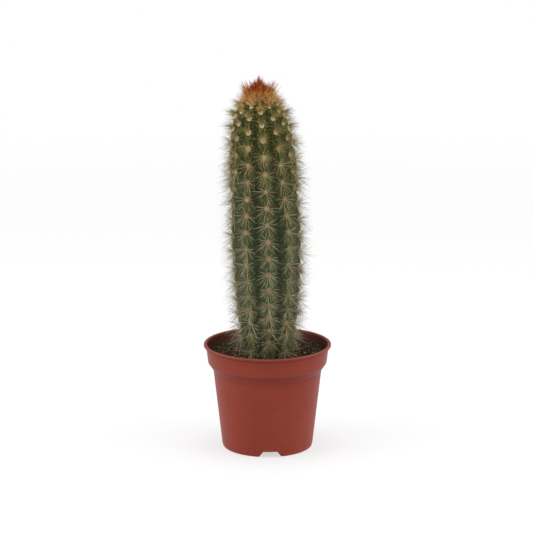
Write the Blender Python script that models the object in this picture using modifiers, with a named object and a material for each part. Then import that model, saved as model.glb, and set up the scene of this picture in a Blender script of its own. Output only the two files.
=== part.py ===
# Potted columnar cactus: a ribbed stem set with spiny areoles, its crown of young
# orange spines, the potting soil it stands in, and a plastic nursery pot.
# Metres, +Z up. The origin is on the pot's axis, on the plane of its foot, and the
# side that faces -Y is the front.
import bisect
import math
import random

import bmesh
import bpy
from mathutils import Matrix, Vector, noise

MM = 0.001
GAP = 0.3 * MM  # clearance between pieces that rest on or in each other

# Nursery pot
RIM_RADIUS = 52.5 * MM
POT_HEIGHT = 86.8 * MM
POT_WALL = 1.2 * MM
LIP_HEIGHT = 2.0 * MM
LIP_ROUND = 0.5 * MM
LIP_SPLAY = 0.7 * MM  # the mouth opens this much over the splay's height
LIP_SPLAY_HEIGHT = 1.4 * MM
LIP_UNDERCUT = 0.3 * MM
LIP_STEP = 1.9 * MM  # how far the lip stands out of the band
BAND_HEIGHT = 15.2 * MM  # rim top to the foot of the rim band
BAND_TAPER = 1.6 * MM
SHOULDER_HEIGHT = 6.4 * MM
WALL_TOP_RADIUS = 44.7 * MM
WALL_FOOT_RADIUS = 37.6 * MM
FOOT_RADIUS = 36.5 * MM
FOOT_WIDTH = 1.4 * MM
FOOT_CORNER = 0.8 * MM
FOOT_ROUND = 2.6 * MM
FLOOR_UNDERSIDE = 4.4 * MM
FLOOR_THICKNESS = 1.4 * MM
FLOOR_CORNER = 1.5 * MM
NOTCHES = 3
NOTCH_TURN = 3.6  # degrees from the front to the first notch
NOTCH_WIDTH_LOW = 16.6 * MM
NOTCH_WIDTH_HIGH = 10.6 * MM
NOTCH_HEIGHT = 4.1 * MM
DRAIN_HOLES = 6
DRAIN_RADIUS = 3.5 * MM
DRAIN_CIRCLE = 24.0 * MM
DRAIN_SIDES = 16
CUTTER_DEPTH = 12.0 * MM  # longer than anything that a cutter goes through
CUTTER_OVERSHOOT = 2.0 * MM
TURNED_STEPS = 48

# Potting soil
SOIL_LEVEL = 78.8 * MM
SOIL_RELIEF = 1.1 * MM
SOIL_GRAIN = 6.0 * MM  # size of the clods
SOIL_ROUGHNESS = 0.8  # how fast the finer octaves of the clods die away
SOIL_OCTAVES = 3
SOIL_RINGS = 6
HOLE_RADIUS = 23.0 * MM

# Stem: (crest radius, height) down its outline, from the buried foot to the crown's seat
STEM_OUTLINE = (
    (17.0 * MM, 57.3 * MM),
    (21.4 * MM, 64.8 * MM),
    (22.4 * MM, 78.8 * MM),
    (23.3 * MM, 99.8 * MM),
    (26.0 * MM, 122.8 * MM),
    (28.2 * MM, 160.8 * MM),
    (28.5 * MM, 195.8 * MM),
    (27.4 * MM, 233.8 * MM),
    (24.6 * MM, 260.8 * MM),
    (18.8 * MM, 280.8 * MM),
    (11.8 * MM, 288.8 * MM),
)
STEM_FOOT_HEIGHT = 55.8 * MM
SEAT_DIP = 0.3 * MM
OUTLINE_SAMPLES = 24  # points between two points of the outline
BURIED_ROWS = (0.0, 0.22, 0.45, 0.66, 0.84)  # shares of the way up to the first areole
LEAN = 6.8 * MM  # the apex lies this far to -X of the pot's axis
LEAN_POWER = 2.2

# Ribs: nine at the soil, and three more that start part of the way up
RIB_TURN = 3.5  # degrees from the front to the front rib
BASE_RIBS = 9
NEW_RIB_AFTER = (2, 4, 6)  # counted round from the front rib, seen from above
SPREAD_FROM = 169.0 * MM  # the old ribs draw together between these two heights
SPREAD_TO = 247.0 * MM
NEW_RIB_FROM = 185.0 * MM  # and the new ones rise out of their furrows between these
NEW_RIB_TO = 223.0 * MM
NEW_RIB_BARE = 215.0 * MM  # a new rib bears areoles from this height
RIB_DEPTH = 5.6 * MM
RIB_DEPTH_FOOT = 3.6 * MM
RIB_DEPTH_GROWTH = 50.0 * MM  # height over which the ribs reach their full depth
RIB_DEPTH_SHARE = 0.2  # depth of a rib as a share of the stem's radius, at most
BURIED_FADE = 12.0 * MM  # the ribs fade out over this depth in the soil
RIB_ROUNDNESS = 1.6  # above 1, crests are round and furrows sharp
COLUMNS_PER_RIB = 4
SCALLOP = 1.2 * MM  # depth of the crest's notches, in which the areoles sit
SCALLOP_FADE_FROM = 279.0 * MM
SCALLOP_FADE_TO = 291.0 * MM

# Areoles and their spines
FIRST_AREOLE = 92.8 * MM  # height of the lowest row
PITCH = 13.7 * MM
PITCH_AT_FOOT = 0.66  # share of the pitch at the lowest row
PITCH_GROWTH = 0.06  # added to that share with each row
PITCH_AT_APEX = 7.5 * MM
PITCH_APEX_SLOPE = 0.14  # added to that pitch for each unit of distance from the apex
LAST_AREOLE = 2.6 * MM  # distance left to the crown's seat
PAD_SIDES = 6
PAD_RADIUS = 1.9 * MM
PAD_TOP_RADIUS = 0.75 * MM
PAD_RISE = 0.7 * MM
PAD_ROOT = 1.1 * MM
# (length, degrees up from the skin) for the spines round a pad, from the one that
# points along the rib towards the apex
SPINES = (
    (11.0 * MM, 58.0),
    (9.5 * MM, 26.0),
    (9.5 * MM, 22.0),
    (14.0 * MM, 52.0),
    (9.5 * MM, 22.0),
    (9.5 * MM, 26.0),
)
SPINE_JITTER = 9.0  # degrees
LENGTH_JITTER = 0.14
SOIL_CLEARANCE = 2.5 * MM
UPPER_SPINES = 265.0 * MM  # above this height the spines lean away from the crown
UPPER_LEAN = 57.0  # degrees from upright, at least
UPPER_OUTWARD = 0.6  # share of a spine's reach that points away from the axis, at least

# Crown
CROWN_RADIUS = 11.2 * MM
CROWN_RISE = 4.4 * MM
CROWN_UNDERSIDE = 0.3 * MM
CROWN_SPINE = 15.2 * MM
CROWN_EDGE_SHORT = 0.38  # share of that length at the crown's edge
CROWN_EDGE_LONG = 0.74  # and for every third spine, which stands out of the tuft
CROWN_LEAN = 43.0  # degrees from upright at the edge
CROWN_FAN = 1.6  # how much of that lean is kept for the edge
CROWN_LEAN_JITTER = 4.0
CROWN_SWAY = 0.05
CROWN_SHORTEST = 0.82  # of a spine's length, by chance
CROWN_BARE_EDGE = 0.12  # share of the cushion's rise that bears no spines
CROWN_SPINE_BASE = 0.47  # a spine's foot, as a share of the facet it grows from
INNER_RADIUS = 0.44  # of a triangle, over the square root of its area

SEED = 11


def smooth_step(value, start, end):
    share = min(1.0, max(0.0, (value - start) / (end - start)))
    return share * share * (3.0 - 2.0 * share)


def material(name, colour, roughness):
    made = bpy.data.materials.new(name)
    made.use_nodes = True
    shader = made.node_tree.nodes["Principled BSDF"]
    shader.inputs["Base Color"].default_value = (*colour, 1.0)
    shader.inputs["Roughness"].default_value = roughness
    shader.inputs["Metallic"].default_value = 0.0
    return made


def collection(name, helper=False):
    made = bpy.data.collections.new(name)
    made.hide_render = helper
    bpy.context.scene.collection.children.link(made)
    return made


def mesh_object(name, bm, home):
    mesh = bpy.data.meshes.new(name)
    bm.to_mesh(mesh)
    bm.free()
    made = bpy.data.objects.new(name, mesh)
    home.objects.link(made)
    return made


def cutter(name, bm, home):
    made = mesh_object(name, bm, home)
    made.hide_render = True
    made.display_type = "WIRE"
    return made


def apply_modifiers(target):
    """Puts the evaluated mesh in place of the object's own, and drops its modifiers."""
    graph = bpy.context.evaluated_depsgraph_get()
    target.data = bpy.data.meshes.new_from_object(target.evaluated_get(graph))
    target.modifiers.clear()


def turned(name, outline, home):
    """A solid of revolution about Z. The outline runs down its outer side."""
    mesh = bpy.data.meshes.new(name)
    points = [(radius, 0.0, height) for radius, height in outline]
    mesh.from_pydata(points, [(i, i + 1) for i in range(len(points) - 1)], [])
    made = bpy.data.objects.new(name, mesh)
    home.objects.link(made)
    screw = made.modifiers.new("turn", "SCREW")
    screw.axis = "Z"
    screw.angle = math.tau
    screw.steps = TURNED_STEPS
    screw.render_steps = TURNED_STEPS
    screw.use_merge_vertices = True
    screw.merge_threshold = 0.01 * MM
    screw.use_smooth_shade = True
    return made


def inset_outline(points, distance):
    """The outline moved to its left, as seen while walking along it."""
    moved = []
    for i, point in enumerate(points):
        here = Vector(point)
        sides = []
        if i > 0:
            sides.append((here - Vector(points[i - 1])).normalized())
        if i < len(points) - 1:
            sides.append((Vector(points[i + 1]) - here).normalized())
        normals = [Vector((-side.y, side.x)) for side in sides]
        miter = sum(normals, Vector((0.0, 0.0))).normalized()
        moved.append(tuple(here + miter * (distance / miter.dot(normals[0]))))
    return moved


def pot_wall_outline():
    """The outer side of the wall, shoulder and rim band, from the foot up."""
    band_top = POT_HEIGHT - LIP_HEIGHT
    band_foot = POT_HEIGHT - BAND_HEIGHT
    return [
        (WALL_FOOT_RADIUS, FOOT_ROUND),
        (WALL_TOP_RADIUS, band_foot - SHOULDER_HEIGHT),
        (RIM_RADIUS - LIP_STEP - BAND_TAPER, band_foot),
        (RIM_RADIUS - LIP_STEP, band_top),
    ]


def pot_cavity_outline():
    """The inside of the pot, from the edge of its floor up."""
    walls = inset_outline(pot_wall_outline(), POT_WALL)
    floor_top = FLOOR_UNDERSIDE + FLOOR_THICKNESS
    low, high = Vector(walls[0]), Vector(walls[1])
    share = (floor_top + FLOOR_CORNER - low.y) / (high.y - low.y)
    corner = low + (high - low) * share
    return [(corner.x - FLOOR_CORNER, floor_top), tuple(corner), *walls[1:]]


def make_pot(home, cutters):
    outer = pot_wall_outline()
    inner = pot_cavity_outline()
    outline = [
        (0.0, FLOOR_UNDERSIDE + FLOOR_THICKNESS),
        *inner[:-1],
        (inner[-1][0], POT_HEIGHT - LIP_SPLAY_HEIGHT),
        (inner[-1][0] + LIP_SPLAY, POT_HEIGHT),
        (RIM_RADIUS - LIP_ROUND, POT_HEIGHT),
        (RIM_RADIUS, POT_HEIGHT - LIP_ROUND),
        (RIM_RADIUS, POT_HEIGHT - LIP_HEIGHT + LIP_UNDERCUT),
        (outer[-1][0], outer[-1][1] - LIP_UNDERCUT),
        outer[2],
        outer[1],
        outer[0],
        (FOOT_RADIUS + FOOT_CORNER, FOOT_CORNER),
        (FOOT_RADIUS, 0.0),
        (FOOT_RADIUS - FOOT_WIDTH, 0.0),
        (FOOT_RADIUS - FOOT_WIDTH, FLOOR_UNDERSIDE),
        (0.0, FLOOR_UNDERSIDE),
    ]
    pot = turned("nursery_pot", outline, home)
    for i in range(NOTCHES):
        cut(pot, notch_cutter(i, cutters))
    for i in range(DRAIN_HOLES):
        cut(pot, drain_cutter(i, cutters))
    apply_modifiers(pot)
    pot.data.materials.append(material("terracotta plastic", (0.36, 0.075, 0.045), 0.42))
    pot.data.shade_smooth()
    pot.data.set_sharp_from_angle(angle=math.radians(35))
    return pot


def cut(target, tool):
    boolean = target.modifiers.new(tool.name, "BOOLEAN")
    boolean.operation = "DIFFERENCE"
    boolean.object = tool


def front_turn(degrees):
    """Turns the front, -Y, about the pot's axis, anticlockwise from above."""
    return Matrix.Rotation(math.radians(degrees), 4, "Z")


def notch_cutter(index, home):
    """A wedge with sloping sides, through the foot ring from outside to inside."""
    slope = (NOTCH_WIDTH_LOW - NOTCH_WIDTH_HIGH) / 2 / NOTCH_HEIGHT
    half_high = NOTCH_WIDTH_HIGH / 2
    half_low = NOTCH_WIDTH_LOW / 2 + slope * CUTTER_OVERSHOOT
    bm = bmesh.new()
    bmesh.ops.create_cube(bm, size=1.0)
    for corner in bm.verts:
        high = corner.co.z > 0
        corner.co.x = math.copysign(half_high if high else half_low, corner.co.x)
        corner.co.y = -FOOT_RADIUS + math.copysign(CUTTER_DEPTH / 2, corner.co.y)
        corner.co.z = NOTCH_HEIGHT if high else -CUTTER_OVERSHOOT
    made = cutter(f"notch_cutter_{index}", bm, home)
    made.matrix_world = front_turn(NOTCH_TURN + 360 / NOTCHES * index)
    return made


def drain_cutter(index, home):
    bm = bmesh.new()
    bmesh.ops.create_cone(
        bm,
        cap_ends=True,
        segments=DRAIN_SIDES,
        radius1=DRAIN_RADIUS,
        radius2=DRAIN_RADIUS,
        depth=CUTTER_DEPTH,
    )
    made = cutter(f"drain_cutter_{index}", bm, home)
    turn = front_turn(NOTCH_TURN + 360 / DRAIN_HOLES * index)
    place = Matrix.Translation((0.0, -DRAIN_CIRCLE, FLOOR_UNDERSIDE))
    made.matrix_world = turn @ place
    return made


def make_soil(home):
    """Soil that fills the pot, with a lumpy top and a plain hole for the stem."""
    walls = inset_outline(pot_cavity_outline(), GAP)
    floor = walls[0][1] + GAP
    foot, top = Vector(walls[-2]), Vector(walls[-1])
    share = (SOIL_LEVEL - foot.y) / (top.y - foot.y)
    edge = foot.x + (top.x - foot.x) * share
    hole_floor = STEM_FOOT_HEIGHT - GAP
    rings = [
        (HOLE_RADIUS + (edge - HOLE_RADIUS) * i / SOIL_RINGS, SOIL_LEVEL)
        for i in range(SOIL_RINGS + 1)
    ]
    outline = [
        (0.0, hole_floor),
        (HOLE_RADIUS, hole_floor),
        *rings,
        *reversed(walls[1:-1]),
        (walls[0][0], floor),
        (0.0, floor),
    ]
    soil = turned("potting_soil", outline, home)
    apply_modifiers(soil)
    for vertex in soil.data.vertices:
        if abs(vertex.co.z - SOIL_LEVEL) < 0.01 * MM:
            lump = noise.fractal(vertex.co / SOIL_GRAIN, SOIL_ROUGHNESS, 2.0, SOIL_OCTAVES)
            vertex.co.z += SOIL_RELIEF * lump
    soil.data.materials.append(material("peat", (0.030, 0.018, 0.012), 0.95))
    return soil


def smooth_between(before, start, end, after, t):
    """A point of the smooth curve through four points, between the middle two."""
    linear = end - before
    square = 2 * before - 5 * start + 4 * end - after
    cubic = 3 * start - before - 3 * end + after
    return start + (linear * t + square * t**2 + cubic * t**3) / 2


def stem_outline():
    """The crest's outline as (distance along it, radius, height), densely sampled."""
    keys = [Vector(key) for key in STEM_OUTLINE]
    keys = [keys[0] * 2 - keys[1], *keys, keys[-1] * 2 - keys[-2]]
    samples = []
    for i in range(1, len(keys) - 2):
        for step in range(OUTLINE_SAMPLES):
            samples.append(smooth_between(*keys[i - 1 : i + 3], step / OUTLINE_SAMPLES))
    samples.append(keys[-2])
    line, walked = [(0.0, *samples[0])], 0.0
    for last, here in zip(samples, samples[1:]):
        walked += (here - last).length
        line.append((walked, *here))
    return line


OUTLINE = stem_outline()
OUTLINE_LENGTH = OUTLINE[-1][0]


def crest_at(distance):
    """(radius, height) of the crest at a distance along its outline."""
    i = bisect.bisect_right([row[0] for row in OUTLINE], distance)
    i = min(max(i, 1), len(OUTLINE) - 1)
    low, high = OUTLINE[i - 1], OUTLINE[i]
    share = (distance - low[0]) / (high[0] - low[0])
    radius, height = (a + (b - a) * share for a, b in zip(low[1:], high[1:]))
    return radius, height


def areole_stations():
    """Distances along the crest at which a rib bears an areole, from the soil up."""
    distance = next(walked for walked, _, height in OUTLINE if height >= FIRST_AREOLE)
    stations = []
    while OUTLINE_LENGTH - distance > LAST_AREOLE:
        stations.append(distance)
        young = PITCH_AT_APEX + PITCH_APEX_SLOPE * (OUTLINE_LENGTH - distance)
        old = PITCH * (PITCH_AT_FOOT + PITCH_GROWTH * len(stations))
        distance += min(PITCH, young, old)
    return stations


STATIONS = areole_stations()


def midway(index):
    """The distance midway between a station and the next, where other ribs bear theirs."""
    after = STATIONS[index + 1] if index + 1 < len(STATIONS) else OUTLINE_LENGTH
    return (STATIONS[index] + after) / 2


def rib_angles():
    """(angle at the foot, angle at the top, whether it starts part of the way up), in
    degrees, for each rib in order round the stem."""
    wide, narrow = 360 / BASE_RIBS, 360 / (BASE_RIBS + len(NEW_RIB_AFTER))
    ribs = []
    for i in range(BASE_RIBS):
        ribs.append((RIB_TURN + wide * i, RIB_TURN + narrow * len(ribs), False))
        if i in NEW_RIB_AFTER:
            middle = RIB_TURN + wide * (i + 0.5)
            ribs.append((middle, RIB_TURN + narrow * len(ribs), True))
    return ribs


RIBS = rib_angles()
COLUMNS = COLUMNS_PER_RIB * len(RIBS)
CRESTS = [COLUMNS_PER_RIB * i for i in range(len(RIBS))]
OLD_CRESTS = [crest for crest, rib in zip(CRESTS, RIBS) if not rib[2]]


def rib_angle(index, height):
    foot, top, _ = RIBS[index % len(RIBS)]
    laps = 360 * (index // len(RIBS))
    return laps + foot + (top - foot) * smooth_step(height, SPREAD_FROM, SPREAD_TO)


def axis_shift(height):
    share = max(0.0, (height - SOIL_LEVEL) / (STEM_OUTLINE[-1][1] - SOIL_LEVEL))
    return -LEAN * share**LEAN_POWER


def rib_depth(height, radius):
    unburied = smooth_step(height, SOIL_LEVEL - BURIED_FADE, SOIL_LEVEL)
    grown = smooth_step(height, SOIL_LEVEL, SOIL_LEVEL + RIB_DEPTH_GROWTH)
    depth = RIB_DEPTH_FOOT + (RIB_DEPTH - RIB_DEPTH_FOOT) * grown
    return unburied * min(depth, RIB_DEPTH_SHARE * radius)


def off_crest(column, crests):
    """0 on a crest and 1 in the furrow midway between two, for a column of the skin."""
    before = max(crest for crest in crests if crest <= column)
    after = min(crest for crest in (*crests, COLUMNS) if crest > column)
    share = (column - before) / (after - before)
    return 2 * min(share, 1 - share)


def stem_point(distance, column, wave):
    """A point of the skin. Columns count round from the front rib's crest, and wave
    is where the point lies between two areoles of the even ribs."""
    radius, height = crest_at(distance)
    rib, step = divmod(column, COLUMNS_PER_RIB)
    share = step / COLUMNS_PER_RIB
    angle = rib_angle(rib, height) * (1 - share) + rib_angle(rib + 1, height) * share
    new_ribs = smooth_step(height, NEW_RIB_FROM, NEW_RIB_TO)
    off = off_crest(column, OLD_CRESTS) * (1 - new_ribs) + off_crest(column, CRESTS) * new_ribs
    nearest = (rib + round(share)) % len(RIBS)
    drop = rib_depth(height, radius) * off**RIB_ROUNDNESS
    drop += scallop(wave, nearest, height) * (1 - off)
    return skin_point(angle, radius - drop, height)


def skin_point(angle, radius, height):
    turn = math.radians(angle)
    return Vector(
        (
            axis_shift(height) + radius * math.sin(turn),
            -radius * math.cos(turn),
            height,
        )
    )


def scallop(wave, rib, height):
    """How far the crest dips, most at an areole and not at all midway between two."""
    if wave is None:
        return SCALLOP / 2
    near = 0.5 + 0.5 * math.cos(math.tau * (wave - 0.5 * (rib % 2)))
    return SCALLOP * near * (1 - smooth_step(height, SCALLOP_FADE_FROM, SCALLOP_FADE_TO))


def stem_rows():
    """(distance along the crest, wave) for each ring of the skin, from the foot up."""
    rows = [(STATIONS[0] * share, None) for share in BURIED_ROWS]
    for i, station in enumerate(STATIONS):
        rows.append((station, 0.0))
        rows.append((midway(i), 0.5))
    rows.append((OUTLINE_LENGTH, None))
    return rows


def make_skin(home):
    """A sphere whose rings and columns are moved onto the ribbed stem."""
    rows = stem_rows()
    rings = len(rows) + 1
    seat = STEM_OUTLINE[-1][1] - SEAT_DIP
    bm = bmesh.new()
    bmesh.ops.create_uvsphere(bm, u_segments=COLUMNS, v_segments=rings, radius=1.0)
    for vertex in bm.verts:
        from_apex = math.acos(max(-1.0, min(1.0, vertex.co.z))) / math.pi
        ring = rings - round(from_apex * rings)
        turn = math.atan2(vertex.co.x, -vertex.co.y) / math.tau
        if ring == 0:
            vertex.co = skin_point(0.0, 0.0, STEM_FOOT_HEIGHT)
        elif ring == rings:
            vertex.co = skin_point(0.0, 0.0, seat)
        else:
            distance, wave = rows[ring - 1]
            vertex.co = stem_point(distance, round(turn * COLUMNS) % COLUMNS, wave)
    bmesh.ops.recalc_face_normals(bm, faces=bm.faces)
    return mesh_object("cactus_stem", bm, home)


def areole_places():
    """(foot, outward normal, direction along the rib, direction away from the axis) for
    each areole."""
    up = Vector((0.0, 0.0, 1.0))
    for rib, (_, _, new) in enumerate(RIBS):
        odd = rib % 2 == 1
        for i, station in enumerate(STATIONS):
            distance = midway(i) if odd else station
            radius, height = crest_at(distance)
            if new and height < NEW_RIB_BARE:
                continue
            if OUTLINE_LENGTH - distance < LAST_AREOLE:
                continue
            ahead, behind = crest_at(distance + MM), crest_at(distance - MM)
            rise = Vector((ahead[0] - behind[0], ahead[1] - behind[1])).normalized()
            angle = rib_angle(rib, height)
            turn = math.radians(angle)
            across = Vector((math.sin(turn), -math.cos(turn), 0.0))
            normal = across * rise.y - up * rise.x
            along = across * rise.x + up * rise.y
            dip = scallop(0.5 if odd else 0.0, rib, height)
            yield skin_point(angle, radius - dip, height), normal, along, across


def spine_direction(normal, along, round_pad, rise):
    side = normal.cross(along)
    flat = along * math.cos(round_pad) + side * math.sin(round_pad)
    return (flat * math.cos(rise) + normal * math.sin(rise)).normalized()


def kept_clear(way, root, length, across):
    """The same spine, bent away from the crown above it or from the soil below it."""
    way = way.copy()
    if root.z > UPPER_SPINES:
        outward = max(way.dot(across), UPPER_OUTWARD)
        way += across * (outward - way.dot(across))
        way.z = min(way.z, outward / math.tan(math.radians(UPPER_LEAN)))
    lowest = SOIL_LEVEL + SOIL_RELIEF + SOIL_CLEARANCE
    way.z = max(way.z, (lowest - root.z) / length)
    return way.normalized()


def make_areole(place, rng, home):
    """A six-sided felt pad, with each facet of its top drawn out into a spine."""
    foot, normal, along, across = place
    bm = bmesh.new()
    bmesh.ops.create_cone(
        bm,
        cap_ends=True,
        segments=PAD_SIDES,
        radius1=PAD_RADIUS,
        radius2=PAD_TOP_RADIUS,
        depth=PAD_RISE + PAD_ROOT,
        matrix=Matrix.Translation((0.0, 0.0, (PAD_RISE - PAD_ROOT) / 2)),
    )
    side = normal.cross(along)
    frame = Matrix((side, along, normal)).transposed().to_4x4()
    frame.translation = foot
    bm.transform(frame)
    bm.faces.ensure_lookup_table()
    top = max(bm.faces, key=lambda face: (face.calc_center_median() - foot).dot(normal))
    facets = bmesh.ops.poke(bm, faces=[top])["faces"]
    for facet in facets:
        root = facet.calc_center_median()
        from_pad = root - foot
        round_pad = math.atan2(from_pad.dot(side), from_pad.dot(along))
        length, rise = SPINES[round(round_pad / math.tau * PAD_SIDES - 0.5) % PAD_SIDES]
        round_pad += math.radians(rng.uniform(-SPINE_JITTER, SPINE_JITTER))
        rise = math.radians(rise + rng.uniform(-SPINE_JITTER, SPINE_JITTER))
        length *= 1 + rng.uniform(-LENGTH_JITTER, LENGTH_JITTER)
        way = spine_direction(normal, along, round_pad, rise)
        tip = bmesh.ops.poke(bm, faces=[facet])["verts"][0]
        tip.co = root + kept_clear(way, root, length, across) * length
    bmesh.ops.recalc_face_normals(bm, faces=bm.faces)
    return mesh_object("areole", bm, home)


def make_stem(home):
    """Skin, pads and spines, joined into the one body that they grew as."""
    skin = make_skin(home)
    areoles = collection("areoles", helper=True)
    rng = random.Random(SEED)
    pads = [make_areole(place, rng, areoles) for place in areole_places()]
    union = skin.modifiers.new("areoles", "BOOLEAN")
    union.operation = "UNION"
    union.operand_type = "COLLECTION"
    union.collection = areoles
    union.solver = "MANIFOLD"
    apply_modifiers(skin)
    for pad in pads:
        bpy.data.objects.remove(pad)
    bpy.data.collections.remove(areoles)
    skin.data.materials.clear()
    skin.data.materials.append(material("cactus skin", (0.055, 0.105, 0.045), 0.5))
    return skin


def make_crown(home):
    """A felt cushion at the growing point, its upper facets drawn out into spines."""
    rng = random.Random(SEED + 1)
    bm = bmesh.new()
    bmesh.ops.create_icosphere(bm, subdivisions=3, radius=1.0)
    upper = [face for face in bm.faces if face.calc_center_median().z > CROWN_BARE_EDGE]
    for vertex in bm.verts:
        rise = CROWN_RISE if vertex.co.z > 0 else CROWN_UNDERSIDE
        vertex.co *= Vector((CROWN_RADIUS, CROWN_RADIUS, rise))
    for i, face in enumerate(upper):
        edge_share = CROWN_EDGE_SHORT if i % 3 else CROWN_EDGE_LONG
        grow_crown_spine(bm, face, edge_share, rng)
    bmesh.ops.recalc_face_normals(bm, faces=bm.faces)
    crown = mesh_object("crown_spines", bm, home)
    seat = STEM_OUTLINE[-1][1] + GAP
    crown.location = (axis_shift(seat), 0.0, seat + CROWN_UNDERSIDE)
    crown.data.materials.append(material("young spines", (0.42, 0.13, 0.035), 0.6))
    return crown


def grow_crown_spine(bm, face, edge_share, rng):
    root = face.calc_center_median()
    inner_radius = INNER_RADIUS * face.calc_area() ** 0.5
    bmesh.ops.inset_individual(
        bm,
        faces=[face],
        thickness=inner_radius * (1 - CROWN_SPINE_BASE),
        use_even_offset=True,
    )
    outward = Vector((root.x, root.y, 0.0))
    share = outward.length / CROWN_RADIUS
    lean = CROWN_LEAN * share**CROWN_FAN
    lean = math.radians(lean + rng.uniform(-CROWN_LEAN_JITTER, CROWN_LEAN_JITTER))
    sway = Vector((rng.uniform(-CROWN_SWAY, CROWN_SWAY), rng.uniform(-CROWN_SWAY, CROWN_SWAY), 0.0))
    way = outward.normalized() * math.sin(lean) + sway
    way.z = math.cos(lean)
    length = CROWN_SPINE * (1 - (1 - edge_share) * share) * rng.uniform(CROWN_SHORTEST, 1.0)
    tip = bmesh.ops.poke(bm, faces=[face])["verts"][0]
    tip.co = root + way.normalized() * length


def main():
    for old in list(bpy.data.objects):
        bpy.data.objects.remove(old)
    home = collection("potted columnar cactus")
    cutters = collection("cutters", helper=True)
    pot = make_pot(home, cutters)
    soil = make_soil(home)
    stem = make_stem(home)
    crown = make_crown(home)
    soil.parent = pot
    stem.parent = soil
    crown.parent = stem


main()
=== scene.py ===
import math

import bmesh
import bpy
from mathutils import Matrix, Vector, noise as mathutilsNoise


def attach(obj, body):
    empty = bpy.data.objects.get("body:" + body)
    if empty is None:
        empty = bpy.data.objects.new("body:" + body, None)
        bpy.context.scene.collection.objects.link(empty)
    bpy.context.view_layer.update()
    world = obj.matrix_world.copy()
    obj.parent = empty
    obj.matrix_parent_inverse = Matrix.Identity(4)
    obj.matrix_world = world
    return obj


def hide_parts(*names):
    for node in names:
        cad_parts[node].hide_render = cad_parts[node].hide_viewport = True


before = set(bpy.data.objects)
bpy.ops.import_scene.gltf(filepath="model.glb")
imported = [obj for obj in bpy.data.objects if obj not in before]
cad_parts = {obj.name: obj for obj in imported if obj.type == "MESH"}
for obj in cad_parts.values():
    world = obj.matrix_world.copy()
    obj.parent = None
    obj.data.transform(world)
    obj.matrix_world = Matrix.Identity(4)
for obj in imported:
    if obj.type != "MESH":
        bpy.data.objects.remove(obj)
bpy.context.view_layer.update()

mm = 0.001
scene = bpy.context.scene


# helpers for nodes and meshes
tree = None  # the node tree at work


def workOn(newTree):
    global tree
    tree = newTree


class Wire:
    # a number coming out of a node, so that long formulas read like sums

    def __init__(self, socket):
        self.socket = socket

    def __add__(self, other):
        return maths("ADD", self, other)

    def __radd__(self, other):
        return maths("ADD", other, self)

    def __sub__(self, other):
        return maths("SUBTRACT", self, other)

    def __rsub__(self, other):
        return maths("SUBTRACT", other, self)

    def __mul__(self, other):
        return maths("MULTIPLY", self, other)

    def __rmul__(self, other):
        return maths("MULTIPLY", other, self)

    def __truediv__(self, other):
        return maths("DIVIDE", self, other)

    def __pow__(self, other):
        return maths("POWER", self, other)


def plug(socket, value):
    # a value, a socket or a Wire goes into an input
    if isinstance(value, Wire):
        value = value.socket
    if isinstance(value, bpy.types.NodeSocket):
        tree.links.new(value, socket)
    elif value is not None:
        socket.default_value = value


def plugAll(sockets, values):
    for socket, value in zip(sockets, values):
        plug(socket, value)


def liveSocket(sockets, name):
    # nodes that handle several data types keep a hidden socket for each of them
    named = [s for s in sockets if s.name == name]
    return next((s for s in named if s.enabled), named[0])


def addNode(kind, setup=None, **values):
    node = tree.nodes.new(kind)
    for name, value in (setup or {}).items():
        setattr(node, name, value)
    for name, value in values.items():
        plug(liveSocket(node.inputs, name.replace("_", " ")), value)
    return node


def output(node, name):
    return Wire(liveSocket(node.outputs, name))


def made(kind, setup=None, **values):
    # a node's first output
    return Wire(addNode(kind, setup, **values).outputs[0])


def maths(operation, *values):
    node = tree.nodes.new("ShaderNodeMath")
    node.operation = operation
    plugAll(node.inputs, values)
    return Wire(node.outputs[0])


def positive(value):
    return maths("MAXIMUM", value, 0.0)


def vectors(operation, *values):
    node = tree.nodes.new("ShaderNodeVectorMath")
    node.operation = operation
    sockets = [node.inputs[0], node.inputs["Scale"]] if operation == "SCALE" else node.inputs
    plugAll(sockets, values)
    return Wire(node.outputs["Value" if operation in ("DOT_PRODUCT", "LENGTH") else "Vector"])


def total(*terms):
    # the sum of (number, vector) products
    result = None
    for number, vector in terms:
        part = vectors("SCALE", vector, number)
        result = part if result is None else vectors("ADD", result, part)
    return result


def joined(x, y, z):
    node = tree.nodes.new("ShaderNodeCombineXYZ")
    plugAll(node.inputs, (x, y, z))
    return Wire(node.outputs[0])


def parted(vector):
    node = tree.nodes.new("ShaderNodeSeparateXYZ")
    plug(node.inputs[0], vector)
    return [Wire(socket) for socket in node.outputs]


def eased(value, low, high, start=0.0, end=1.0):
    # start below low, end above high, and a smooth step between
    node = tree.nodes.new("ShaderNodeMapRange")
    node.interpolation_type = "SMOOTHSTEP"
    plugAll(node.inputs, (value, low, high, start, end))
    return Wire(node.outputs[0])


def easedOver(value, span, start=0.0, end=1.0):
    # the same, over a span in millimetres
    low, high = span
    return eased(value, low * mm, high * mm, start, end)


def sineCosine(angle):
    return maths("SINE", angle), maths("COSINE", angle)


def mixed(low, high, share):
    return low + (high - low) * share


def spread(low, high, seed, ident=None):
    # a random number or vector for each point
    kind = "FLOAT_VECTOR" if isinstance(low, tuple) else "FLOAT"
    node = addNode("FunctionNodeRandomValue", {"data_type": kind}, Min=low, Max=high, Seed=seed)
    if ident is not None:
        plug(liveSocket(node.inputs, "ID"), ident)
    return output(node, "Value")


def anyWay(seed, highest=1.0):
    return spread((-1.0, -1.0, -1.0), (1.0, 1.0, highest), seed)


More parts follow.
